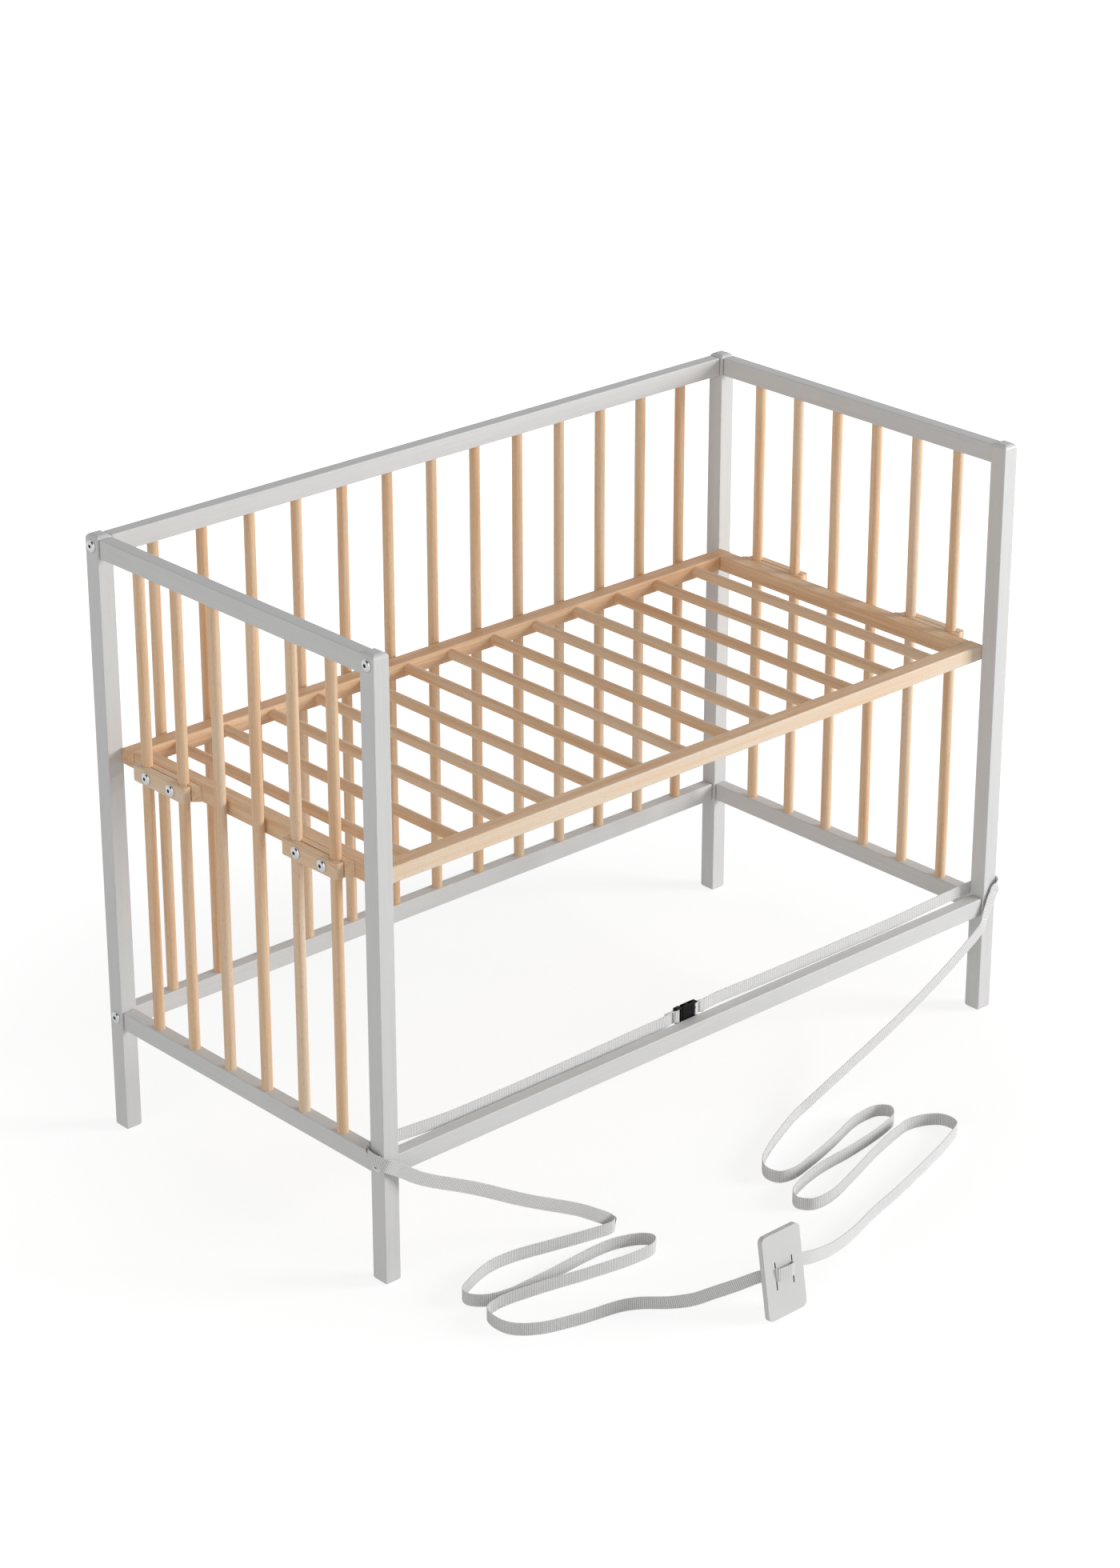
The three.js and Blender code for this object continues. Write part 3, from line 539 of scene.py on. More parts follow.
def rounded(piece, wanted, radius, steps):
    """Rounds the wanted edges of a piece."""
    pick(piece, "EDGE", wanted)
    bpy.ops.mesh.bevel(offset=radius, segments=steps, profile=0.5, affect="EDGES")
    done()


def ends_rounded(piece, axis, low, high, radius, steps):
    """Rounds the edges that lie across an axis at two places."""
    rounded(piece, lambda edge: any(in_plane(edge, axis, at) for at in (low, high)), radius, steps)


def fitted(piece, material, slot, body, *nodes):
    """Finishes a piece: smooth shading, its material, and the body that it moves with."""
    alone(piece)
    bpy.ops.object.shade_smooth_by_angle(angle=SMOOTH_BELOW)
    flat_faces = piece.modifiers.new("flat_faces", "WEIGHTED_NORMAL")
    flat_faces.keep_sharp = True
    flat_faces.weight = 100
    bpy.ops.object.modifier_apply(modifier=flat_faces.name)
    piece.data.name = piece.name
    piece.data.materials.clear()
    piece.data.materials.append(material)
    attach(piece, body)
    if nodes:
        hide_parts(*nodes)
    return piece


def post(end, side):
    """One corner post."""
    node = f"post_{side}_{end}"
    low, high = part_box(node)
    piece = block(f"{side}_{end}_post", low, high)
    rounded(piece, lambda edge: in_plane(edge, 2, high.z), POST_CROWN, 6)
    rounded(piece, lambda edge: in_plane(edge, 2, low.z), POST_FOOT, 4)

    def sharp_and_upright(edge):
        if len(edge.link_faces) != 2 or edge.calc_face_angle(0) <= CORNER_ABOVE:
            return False
        return not in_plane(edge, 2, (edge.verts[0].co.z + edge.verts[1].co.z) / 2)

    rounded(piece, sharp_and_upright, POST_EDGE, 3)
    return fitted(piece, paint["z"], "grey_paint", "frame", node)


for end in ("left", "right"):
    for side in ("front", "rear"):
        post(end, side)

# The grey rails between the posts: 16.5 by 23 mm, with broken long edges and rounded-off ends, so
# that a fine groove shows where each of them meets a post. The end rails have tenons, and bolts
# hold the long ones.
RAIL_THICKER = (0.0007, 0.0007)
FRONT_RAIL_THICKER = (0.0014, -0.0003)
RAIL_DEEPER = 0.0011
RAIL_EDGE = 0.0012
RAIL_END = 0.0022
END_TENON = 0.0064


def straight_rail(name, low, high, axis, edge, end):
    """A straight rail along one axis, with its long edges and its end edges rounded."""
    piece = block(name, low, high)
    rounded(piece, lambda part: runs(part, axis), edge, 4)
    ends_rounded(piece, axis, low[axis], high[axis], end, 3)
    return piece


def grey_rail(name, low, high, axis, node, thicker=RAIL_THICKER):
    """A rail of the grey frame, a little thicker and deeper than its solid."""
    low, high = low.copy(), high.copy()
    low.z -= RAIL_DEEPER
    low[1 - axis] -= thicker[0]
    high[1 - axis] += thicker[1]
    piece = straight_rail(name, low, high, axis, RAIL_EDGE, RAIL_END)
    fitted(piece, paint["xy"[axis]], "grey_paint", "frame", node)


for end in ("left", "right"):
    for level in ("top", "bottom"):
        node = f"end_{level}_rail_{end}"
        low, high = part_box(node)
        low.y += END_TENON
        high.y -= END_TENON
        grey_rail(f"{level}_rail_{end}", low, high, 1, node)
top_low, top_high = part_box("back_top_rail")
grey_rail("top_rail_back", top_low, top_high, 0, "back_top_rail")
grey_rail("bottom_rail_front", rail_low, rail_high, 0, "front_bottom_rail", FRONT_RAIL_THICKER)
comb_low, comb_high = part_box("back_bottom_rail_with_bars")
back_rail_high = Vector((comb_high.x, comb_high.y, rail_high.z))
grey_rail("bottom_rail_back", comb_low, back_rail_high, 0, "back_bottom_rail_with_bars")

# The bars: round beech rods, 13 mm thick, with a clear matt lacquer. Each stands in blind holes in
# the rail below it and the rail above it.
BAR_RADIUS = 0.0065
ROD_EDGE = 0.0005
END_BARS = 6
BACK_BARS = 13
BACK_BAR_SOCKET = 0.004
BEECH_PALE = (0.82, 0.675, 0.525, 1)
BEECH = (0.83, 0.58, 0.365, 1)
BEECH_WARM = (0.73, 0.43, 0.235, 1)
BEECH_TONES = [(0.0, BEECH_PALE), (0.5, BEECH), (1.0, BEECH_WARM)]
BEECH_ROUGHNESS = (0.42, 0.57)
BEECH_DEPTH = 0.0001
STREAK_WARMTH = 1.4
GRAIN_WARMTH = 1.6
FLECK = (0.45, 0.27, 0.15, 1)
FLECK_FROM = 0.6
FLECK_SHARPNESS = 6.0
FLECK_SHARE = 0.45
BARS_DIFFER = 0.3
# Painted light: the right end's bars, nearest the big lamp, are toned paler.
RIGHT_END_LIT_PALER = 0.08
# Painted shade: the back bars are toned warmer, as wood in shade among other wood looks warmer.
BACK_BAR_SHADE_WARMER = 0.08
FLECK_STRETCH = {"x": (160, 1500, 1500), "y": (1500, 160, 1500), "z": (1500, 1500, 160)}
STREAK_STRETCH = {"x": (3, 130, 130), "y": (130, 3, 130), "z": (130, 130, 3)}


def beech(along_axis):
    """Pale beech with soft streaks and short darker flecks along its grain."""
    material, surface, shade = finish_of("beech_" + along_axis)
    place = shade.place()
    tone = shade.node("ShaderNodeAttribute", {}, output=2, attribute_name="tone")
    streaks = shade.streaked(place, STREAK_STRETCH[along_axis], detail=3.0, roughness=0.55)
    grain = shade.streaked(place, GRAIN_STRETCH[along_axis], detail=4.0, roughness=0.65)
    flecks = shade.streaked(place, FLECK_STRETCH[along_axis], detail=1.0)
    warmth = (streaks - 0.5) * STREAK_WARMTH + (grain - 0.5) * GRAIN_WARMTH + tone + 0.5
    fleck_share = ((flecks - FLECK_FROM) * FLECK_SHARPNESS).clamped() * FLECK_SHARE
    joined(fleck_share.between(warmth.ramp(BEECH_TONES), FLECK), surface, "Base Color")
    joined(grain.from_to(*BEECH_ROUGHNESS), surface, "Roughness")
    bumped(surface, grain * 0.6 + flecks * -0.3, BEECH_DEPTH)
    return material


wood = {axis: beech(axis) for axis in "xyz"}


def toned(piece, tone, top_shade_tone=None):
    """Sets how warm a piece of beech is, as no two are alike; a top tone of its own is painted
    shade.
    """
    layer = piece.data.attributes.new("tone", "FLOAT", "POINT")
    top = max(vert.co.z for vert in piece.data.vertices)
    on_top = tone if top_shade_tone is None else top_shade_tone
    tones = [on_top if vert.co.z > top - SAME_PLACE else tone for vert in piece.data.vertices]
    layer.data.foreach_set("value", tones)
    return piece


def varied(number):
    """An uneven number from -0.5 to 0.5. Each kind of piece counts from a number of its own."""
    return (sin(number * 12.9898) * 43758.5453) % 1 - 0.5


def rod(name, start, finish, axis, radius, sides=32):
    """A round rod between two points along one axis, with its end edges broken."""
    turns = {0: (0, pi / 2, 0), 1: (pi / 2, 0, 0), 2: (0, 0, 0)}
    start, finish = Vector(start), Vector(finish)
    bpy.ops.mesh.primitive_cylinder_add(
        vertices=sides, radius=radius, depth=(finish - start).length,
        location=(start + finish) / 2, rotation=turns[axis],
    )
    piece = added(name)
    ends_rounded(piece, axis, start[axis], finish[axis], ROD_EDGE, 2)
    return piece


def spread(low, high, count):
    """Places of round bars that leave equal clear gaps between two faces."""
    gap = (high - low - count * 2 * BAR_RADIUS) / (count + 1)
    return [low + (i + 1) * gap + (2 * i + 1) * BAR_RADIUS for i in range(count)]


for end_number, end in enumerate(("left", "right")):
    for i in range(1, END_BARS + 1):
        node = f"end_bar_{end}_{i}"
        low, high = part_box(node)
        x = (low.x + high.x) / 2
        y = (low.y + high.y) / 2
        piece = rod(f"{end}_bar_{i}", (x, y, low.z), (x, y, high.z), 2, BAR_RADIUS)
        toned(piece, BARS_DIFFER * varied(10 * end_number + i) - RIGHT_END_LIT_PALER * end_number)
        fitted(piece, wood["z"], "beech", "frame", node)
back_bar_places = spread(post_high.x, right_low.x, BACK_BARS)
back_y = (comb_low.y + comb_high.y) / 2
for i, x in enumerate(back_bar_places):
    foot = (x, back_y, back_rail_high.z - BACK_BAR_SOCKET)
    piece = rod(f"back_bar_{i + 1}", foot, (x, back_y, comb_high.z), 2, BAR_RADIUS)
    toned(piece, BACK_BAR_SHADE_WARMER + BARS_DIFFER * varied(40 + i))
    fitted(piece, wood["z"], "beech", "frame")

# The bolts: round steel heads with a six-sided socket, zinc plated. The frame bolts go through the
# posts into barrel nuts in the long rails, but the two at the top of the open side have no nut. The
# clamp bolts go through the jaws into the base.
BOLT_RADIUS = 0.003
HEAD_RADIUS = 0.0075
HEAD_RIM = 0.0003
HEAD_PROFILE = [
    (0.00735, 0.0006), (0.0068, 0.0011), (0.0059, 0.0016), (0.0048, 0.00195), (0.0037, 0.00215),
    (0.0030, 0.0022),
]
HEAD_OUT = HEAD_PROFILE[-1][1]
SOCKET_ACROSS = 0.0023
SOCKET_DEPTH = 0.0015
NUT_RADIUS = 0.005
NUT_HALF = 0.007
NUT_FROM_END = 0.0251
POST_AND_GAPS = 0.0218
STEEL = (0.55, 0.55, 0.56, 1)
STEEL_WORN = (0.44, 0.44, 0.44, 1)
# Painted shade: the socket is near black for the shade in its recess.
SOCKET_SHADE = (0.015, 0.015, 0.015, 1)
SOCKET_SHADE_LIGHTER = (0.05, 0.05, 0.05, 1)
SCUFF_SCALE = 700.0
SCUFF_DEPTH = 0.00003
STEEL_ROUGHNESS = (0.06, 0.18)
SOCKET_SHADE_SCALE = 900.0


def mottled(name, first, second, scale, roughness=0.5, metallic=0.0):
    """A material that wanders finely between two colours, its surface shader and its spots."""
    material, surface, shade = finish_of(name, roughness, metallic)
    spots = shade.noise(shade.place(), scale)
    joined(spots.between(first, second), surface, "Base Color")
    return material, surface, spots


steel, surface, shade = finish_of("bolt_steel", metallic=1.0)
scuffs = shade.noise(shade.place(), SCUFF_SCALE, detail=3.0, roughness=0.7)
joined(scuffs.between(STEEL, STEEL_WORN), surface, "Base Color")
joined(scuffs.from_to(*STEEL_ROUGHNESS), surface, "Roughness")
bumped(surface, scuffs, SCUFF_DEPTH)
socket_shade_steel, _, _ = mottled(
    "bolt_socket_shade", SOCKET_SHADE, SOCKET_SHADE_LIGHTER, SOCKET_SHADE_SCALE, roughness=0.6, metallic=0.4,
)


def stretched_out(distance, radius_share=1.0):
    """Extrudes the selected end face along X, and widens or narrows it."""
    bpy.ops.mesh.extrude_region_move(TRANSFORM_OT_translate={"value": (distance, 0, 0)})
    if radius_share != 1.0:
        bpy.ops.transform.resize(value=(1, radius_share, radius_share))


def cut(piece, tool):
    """Cuts one piece by another, which is used up."""
    alone(piece)
    boolean = piece.modifiers.new("cut", "BOOLEAN")
    boolean.operation = "DIFFERENCE"
    boolean.solver = "EXACT"
    boolean.object = tool
    bpy.ops.object.modifier_apply(modifier=boolean.name)
    bpy.data.objects.remove(tool)


def one_piece(piece, *others):
    """Makes one piece of several."""
    alone(piece)
    for other in others:
        other.select_set(True)
    bpy.ops.object.join()


def bolt(name, length, nut_at):
    """A bolt whose head faces +X, seated at the origin, with its barrel nut where it has one."""
    piece = rod(name, (-length, 0, 0), (0, 0, 0), 0, BOLT_RADIUS)
    pick(piece, "FACE", lambda face: face.normal.x > 0.99 and face.calc_center_median().x > -1e-4)
    stretched_out(0, HEAD_RADIUS / (BOLT_RADIUS - ROD_EDGE))
    stretched_out(HEAD_RIM)
    radius, x = HEAD_RADIUS, HEAD_RIM
    for next_radius, next_x in HEAD_PROFILE:
        stretched_out(next_x - x, next_radius / radius)
        radius, x = next_radius, next_x
    done()
    cut(piece, rod("socket", (x - SOCKET_DEPTH, 0, 0), (x + MM, 0, 0), 0, SOCKET_ACROSS, 6))
    if nut_at:
        nut = rod("nut", (nut_at, 0, -NUT_HALF), (nut_at, 0, NUT_HALF), 2, NUT_RADIUS, 24)
        one_piece(piece, nut)
    piece.data.materials.append(steel)
    piece.data.materials.append(socket_shade_steel)
    # The faces inside the socket take the painted shade material.
    for face in piece.data.polygons:
        near_axis = face.center.yz.length < SOCKET_ACROSS * 0.98
        sunk = x - SOCKET_DEPTH * 1.1 < face.center.x < x - SAME_PLACE
        face.material_index = int(near_axis and sunk)
    return piece


def bolt_copy(pattern, name, node, body):
    """A copy of a bolt with a mesh of its own, its head facing out of its end of the crib."""
    low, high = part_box(node)
    outward = 1 if low.x > 0 else -1
    head_x = (high.x if outward > 0 else low.x) - outward * HEAD_OUT
    mesh = pattern.data.copy()
    turn = Matrix.Rotation(0 if outward > 0 else pi, 4, "Z")
    place = Matrix.Translation((head_x, (low.y + high.y) / 2, (low.z + high.z) / 2))
    mesh.transform(place @ turn)
    piece = bpy.data.objects.new(name, mesh)
    bpy.context.collection.objects.link(piece)
    alone(piece)
    bpy.ops.object.shade_smooth_by_angle(angle=SMOOTH_BELOW)
    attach(piece, body)
    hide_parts(node)
    return piece


frame_low, frame_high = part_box("frame_bolt_bottom_front_right")
cap_low, cap_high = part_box("frame_bolt_top_front_right")
frame_bolt_long = frame_high.x - frame_low.x - HEAD_OUT
frame_bolt = bolt("frame_bolt", frame_bolt_long, -POST_AND_GAPS - NUT_FROM_END)
cap_bolt = bolt("cap_bolt", cap_high.x - cap_low.x - HEAD_OUT, None)
for end in ("left", "right"):
    for side in ("front", "rear"):
        for level in ("bottom", "top"):
            is_cap = side == "front" and level == "top"
            pattern = cap_bolt if is_cap else frame_bolt
            node = f"frame_bolt_{level}_{side}_{end}"
            bolt_copy(pattern, f"{level}_{side}_{end}_bolt", node, "frame")
bpy.data.objects.remove(frame_bolt)
bpy.data.objects.remove(cap_bolt)

# The mattress base: a beech frame with two long rails, two end rails set between them, and
# thirteen round slats in blind holes. It slides on the end bars and is clamped to them.
BASE_EDGE = 0.0016
BASE_END = 0.0008
BASE_TENON = 0.010
SLAT_SOCKET = 0.008
# Painted light and shade: the front rail's lit front faces are toned paler and its top face warmer.
FRONT_RAIL_LIT_AND_SHADED_TONES = (-0.36, 0.26)
# Painted shade: the rear rail and the slats, which sit in shade, are toned warmer.
REAR_RAIL_SHADE_TONE = 0.34
END_RAIL_TONES = {"left": 0.2, "right": 0.15}
SLAT_SHADE_WARMER = 0.12
SLATS_DIFFER = 0.34
base_low, base_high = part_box("base_front_rail")
rear_low, rear_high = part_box("base_rear_rail_with_slats")
base_wide = base_high.y - base_low.y
rear_rail_low = Vector((rear_low.x, rear_high.y - base_wide, rear_low.z))


def base_rail(name, low, high, axis, node, *tones):
    """A rail of the mattress base."""
    piece = toned(straight_rail(name, low, high, axis, BASE_EDGE, BASE_END), *tones)
    fitted(piece, wood["xy"[axis]], "beech", "base", node)


base_rail("base_rail_front", base_low, base_high, 0, "base_front_rail", *FRONT_RAIL_LIT_AND_SHADED_TONES)
base_rail(
    "base_rail_rear", rear_rail_low, rear_high, 0, "base_rear_rail_with_slats", REAR_RAIL_SHADE_TONE,
)
for end, tone in END_RAIL_TONES.items():
    node = f"base_end_rail_{end}"
    low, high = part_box(node)
    low.y += BASE_TENON
    high.y -= BASE_TENON
    base_rail(f"base_rail_{end}", low, high, 1, node, tone)
slat_z = (base_low.z + base_high.z) / 2
for i, x in enumerate(back_bar_places):
    start = (x, base_high.y - SLAT_SOCKET, slat_z)
    finish = (x, rear_rail_low.y + SLAT_SOCKET, slat_z)
    piece = rod(f"slat_{i + 1}", start, finish, 1, BAR_RADIUS)
    toned(piece, SLAT_SHADE_WARMER + SLATS_DIFFER * varied(70 + i))
    fitted(piece, wood["y"], "beech", "base")

# The clamps: at each corner a beech pad on the base's end rail and a loose jaw outside the bars
# grip two end bars between them, pulled together by two bolts.
JAW_CORNER = 0.0034
JAW_EDGE = 0.0009
JAW_GAP = 0.0005
PAD_FLARE = 0.007
CLAMP_GROOVE = 0.007
GROOVE_PAST_END = 0.01
CLAMPS_DIFFER = 0.25
# Painted light: the jaws are toned paler, as lit wood looks paler.
JAW_LIT_PALER = 0.2


def clamp(end, side, number):
    """One clamp, with its pad, its jaw and its bolts."""
    outward = -1 if end == "left" else 1
    jaw_low, jaw_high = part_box(f"clamp_jaw_{side}_{end}")
    pad_low, pad_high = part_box(f"clamp_pad_{side}_{end}")
    outer_x = jaw_low.x if outward < 0 else jaw_high.x
    if outward < 0:
        jaw_high.x -= JAW_GAP
    else:
        jaw_low.x += JAW_GAP
    jaw = block(f"jaw_{side}_{end}", jaw_low, jaw_high)
    rounded(jaw, lambda edge: runs(edge, 2) and in_plane(edge, 0, outer_x), JAW_CORNER, 5)
    ends_rounded(jaw, 2, jaw_low.z, jaw_high.z, JAW_EDGE, 2)
    pad = block(f"pad_{side}_{end}", pad_low, pad_high)
    pad_outer_x = pad_low.x if outward < 0 else pad_high.x
    pick(pad, "FACE", lambda face: in_plane(face, 0, pad_outer_x))
    pad_long = pad_high.y - pad_low.y
    bpy.ops.transform.resize(value=(1, (pad_long - 2 * PAD_FLARE) / pad_long, 1))
    done()
    ends_rounded(pad, 2, jaw_low.z, jaw_high.z, JAW_EDGE, 2)
    for bar in (1, 2) if side == "front" else (END_BARS - 1, END_BARS):
        low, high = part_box(f"end_bar_{end}_{bar}")
        x, y = (low.x + high.x) / 2, (low.y + high.y) / 2
        foot = (x, y, pad_low.z - GROOVE_PAST_END)
        top = (x, y, pad_high.z + GROOVE_PAST_END)
        for piece in (jaw, pad):
            cut(piece, rod("groove", foot, top, 2, CLAMP_GROOVE))
    toned(jaw, CLAMPS_DIFFER * varied(90 + number) - JAW_LIT_PALER)
    toned(pad, CLAMPS_DIFFER * varied(95 + number))
    fitted(jaw, wood["y"], "beech", f"clamp_{side}_{end}", f"clamp_jaw_{side}_{end}")
    fitted(pad, wood["y"], "beech", "base", f"clamp_pad_{side}_{end}")
    for bolt_number in (1, 2):
        node = f"clamp_bolt_{side}_{end}_{bolt_number}"
        bolt_copy(clamp_bolt, f"{side}_{end}_clamp_bolt_{bolt_number}", node, f"clamp_{side}_{end}")


low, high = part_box("clamp_bolt_front_right_1")
clamp_bolt = bolt("clamp_bolt", high.x - low.x - HEAD_OUT, None)
for number, end in enumerate(("left", "right")):
    for side_number, side in enumerate(("front", "rear")):
        clamp(end, side, 2 * number + side_number)
bpy.data.objects.remove(clamp_bolt)

# The buckle's hollow half: black moulded plastic, open at both sides, with a slot and an end bar
# for the webbing. A fine curved ridge stands on its front, a stretch of a thin ring.
BUCKLE_CORNER = 0.0022
BUCKLE_EDGE = 0.0009
BUCKLE_RIM = 0.0018
HOLLOW_SLOT = 0.0024
RIDGE_RADIUS = 0.012
RIDGE_THICK = 0.0004
RIDGE_RISE = 0.0115
RIDGE_DROP = 0.004
RIDGE_REACH = 0.0085
HOLLOW_WALL = 0.0013
HOLLOW_POCKET = 0.018
BUCKLE_BLACK = (0.004, 0.004, 0.0045, 1)
BUCKLE_SHEEN = (0.008, 0.008, 0.009, 1)
BUCKLE_SHINE = 0.10
BUCKLE_ROUGHNESS = (0.22, 0.42)
PORE_SCALE = 1800.0
PORE_DEPTH = 0.00003

plastic, surface, pores = mottled("black_plastic", BUCKLE_BLACK, BUCKLE_SHEEN, PORE_SCALE)
surface.inputs["Specular IOR Level"].default_value = BUCKLE_SHINE
joined(pores.from_to(*BUCKLE_ROUGHNESS), surface, "Roughness")
bumped(surface, pores, PORE_DEPTH)


def buckle_block(name, low, high):
    """A moulded half of the buckle with rounded corners and edges."""
    piece = block(name, low, high)
    rounded(piece, lambda edge: runs(edge, 1), BUCKLE_CORNER, 4)
    ends_rounded(piece, 1, low.y, high.y, BUCKLE_EDGE, 3)
    return piece


def strap_slot(piece, end_x, inward, bar_wide, slot_wide, low, high):
    """Cuts the slot beside an end bar and thins the bar, so that the webbing lies flush on it."""
    far = end_x + inward * bar_wide
    near_x, far_x = sorted((far, far + inward * slot_wide))
    from_z = low.z + BUCKLE_RIM
    to_z = high.z - BUCKLE_RIM
    cut(piece, block("slot", (near_x, low.y - MM, from_z), (far_x, high.y + MM, to_z)))
    middle = (low.y + high.y) / 2
    near_x, far_x = sorted((end_x - inward * MM, far))
    cut(piece, block("slot", (near_x, low.y - MM, from_z), (far_x, middle - bar_thick / 2, to_z)))
    cut(piece, block("slot", (near_x, middle + bar_thick / 2, from_z), (far_x, high.y + MM, to_z)))


hollow_half = buckle_block("buckle_hollow_half", hollow_low, hollow_high)
pocket_low = (hollow_low.x - MM, hollow_low.y + HOLLOW_WALL, hollow_low.z - MM)
pocket_high = (hollow_low.x + HOLLOW_POCKET, hollow_high.y - HOLLOW_WALL, hollow_high.z + MM)
cut(hollow_half, block("pocket", pocket_low, pocket_high))
strap_slot(hollow_half, hollow_high.x, -1, HOLLOW_BAR, HOLLOW_SLOT, hollow_low, hollow_high)
ridge_middle = Vector(((hollow_low.x + hollow_high.x) / 2, hollow_low.y, BUCKLE_Z + RIDGE_RISE))
bpy.ops.mesh.primitive_torus_add(
    location=ridge_middle, rotation=(pi / 2, 0, 0), major_radius=RIDGE_RADIUS,
    minor_radius=RIDGE_THICK, major_segments=72, minor_segments=8,
)
ridge = added("ridge")
ridge_ends = [((0, 0, 1), -RIDGE_DROP), ((-1, 0, 0), RIDGE_REACH), ((1, 0, 0), RIDGE_REACH)]
for outward, off in ridge_ends:
    pick(ridge, "FACE", lambda face: True)
    outward = Vector(outward)
    bpy.ops.mesh.bisect(
        plane_co=ridge_middle + off * outward, plane_no=outward, use_fill=True, clear_outer=True,
    )
    done()
one_piece(hollow_half, ridge)
fitted(hollow_half, plastic, "black_plastic", "frame", "buckle_female")

# The buckle's pronged half, moulded of the same plastic: a base with its own slot and end bar, and
# a guide and two springy prongs that click into the hollow half. The prongs show in its open
# sides, where they are squeezed to let go.
PRONGED_SLOT = 0.0030
PRONGED_BASE = 0.010
PRONG_SIDE_GAP = 0.0004
PRONG_EDGE = 0.0003
GUIDE_LONG = 0.015
GUIDE_HIGH = 0.003
GUIDE_EDGE = 0.0006

# Millimetres out from the base, and in from the half's side
PRONG_OUTLINE = [
    (-1, 5), (-1, 1), (3.5, 1.6), (7.2, 0), (10.2, 0), (13.5, 1.8), (15, 3.2), (13.5, 3.8),
    (9.5, 2.6), (3.5, 4.2),
]

pronged_base_high = Vector((pronged_low.x + PRONGED_BASE, pronged_high.y, pronged_high.z))
pronged_half = buckle_block("buckle_pronged_half", pronged_low, pronged_base_high)
strap_slot(
    pronged_half, pronged_low.x, 1, PRONGED_BAR, PRONGED_SLOT, pronged_low, pronged_base_high,
)
prong_low_y = pronged_low.y + HOLLOW_WALL + TOUCH_GAP
prong_high_y = pronged_high.y - HOLLOW_WALL - TOUCH_GAP
prong_face = pronged_low.x + PRONGED_BASE
middle_z = (pronged_low.z + pronged_high.z) / 2


def prong(up):
    """One springy prong, drawn out from its outline."""
    bpy.ops.mesh.primitive_circle_add(vertices=len(PRONG_OUTLINE), fill_type="NGON")
    piece = added("prong")
    reach = (pronged_high.z - pronged_low.z) / 2 - PRONG_SIDE_GAP
    for vert, (out, down) in zip(piece.data.vertices, PRONG_OUTLINE):
        vert.co = (prong_face + MM * out, prong_low_y, middle_z + up * (reach - MM * down))
    pick(piece, "FACE", lambda face: True)
    thick = prong_high_y - prong_low_y
    bpy.ops.mesh.extrude_region_move(TRANSFORM_OT_translate={"value": (0, thick, 0)})
    bpy.ops.mesh.select_all(action="SELECT")
    bpy.ops.mesh.normals_make_consistent(inside=False)
    done()
    ends_rounded(piece, 1, prong_low_y, prong_high_y, PRONG_EDGE, 2)
    return piece


guide_low = (prong_face - MM, prong_low_y, middle_z - GUIDE_HIGH / 2)
guide_high = (prong_face + GUIDE_LONG, prong_high_y, middle_z + GUIDE_HIGH / 2)
guide = block("guide", guide_low, guide_high)
rounded(guide, lambda edge: in_plane(edge, 0, guide_high[0]), GUIDE_EDGE, 2)
one_piece(pronged_half, guide, prong(1), prong(-1))
fitted(pronged_half, plastic, "black_plastic", "buckle_male", "buckle_male")

# The stitches: dark thread, sewn across the webbing in a short row beside each half of the buckle.
# They hold the fold, and the dark row is partly painted shade for the crease beside it. On the left
# they move with the pronged half.
STITCH_SIZE = (0.0030, 0.0005, 0.0007)
STITCH_OUT = 0.0035
STITCH_OFF = 0.0015
STITCHES = 9
STITCH_PITCH = 0.0015
THREAD_DARK_AND_CREASE_SHADE = (0.09, 0.09, 0.09, 1)
THREAD_GREY = (0.22, 0.22, 0.22, 1)
FIBRE_SCALE = 2500.0
thread, _, _ = mottled("thread", THREAD_DARK_AND_CREASE_SHADE, THREAD_GREY, FIBRE_SCALE, roughness=0.8)


def stitch_row(name, x, body):
    """The row of stitches that holds the fold of the webbing beside its half of the buckle."""
    threads = []
    for i in range(STITCHES):
        up = (i - (STITCHES - 1) / 2) * STITCH_PITCH
        middle = Vector((x, BUCKLE_Y - STITCH_OFF, BUCKLE_Z + up))
        stitch = block(name, middle - Vector(STITCH_SIZE) / 2, middle + Vector(STITCH_SIZE) / 2)
        rounded(stitch, lambda edge: True, STITCH_SIZE[1] / 3, 2)
        threads.append(stitch)
    one_piece(*threads)
    fitted(threads[0], thread, "webbing", body)


stitch_row("stitches_left", pronged_low.x - STITCH_OUT, "buckle_male")
stitch_row("stitches_right", hollow_high.x + STITCH_OUT, "frame")

# The anchor plate: a stiff grey plastic tablet with rounded corners. The webbing goes in through
# one of its two upright slits and out through the other. It stands on the floor and leans back.
PLATE_CORNER = 0.0065
PLATE_EDGE = 0.0003
SLIT_SPACING = 0.0252
SLIT_LONG = 0.0326
SLIT_WIDE = 0.0016
SLIT_LIFT = 0.049
PLATE_GREY = (0.665, 0.665, 0.655, 1)
PLATE_PALE = (0.70, 0.70, 0.69, 1)
# Painted shade: the walls inside the slits are dark for the shade in them.
SLIT_SHADE = (0.10, 0.10, 0.10, 1)
SLIT_SHADE_GREY = (0.16, 0.16, 0.155, 1)
PLATE_CLOUD_SCALE = 30.0
PLATE_GRAIN_SCALE = 1500.0
PLATE_ROUGHNESS = (0.4, 0.6)
PLATE_DEPTH = 0.00005

plate_plastic, surface, cloud = mottled("plate_plastic", PLATE_GREY, PLATE_PALE, PLATE_CLOUD_SCALE)
grain = cloud.noise(cloud.place(), PLATE_GRAIN_SCALE)
joined(grain.from_to(*PLATE_ROUGHNESS), surface, "Roughness")
bumped(surface, grain, PLATE_DEPTH)
slit_shade_plastic, _, _ = mottled("plate_slit_shade", SLIT_SHADE, SLIT_SHADE_GREY, PLATE_GRAIN_SCALE, roughness=0.7)

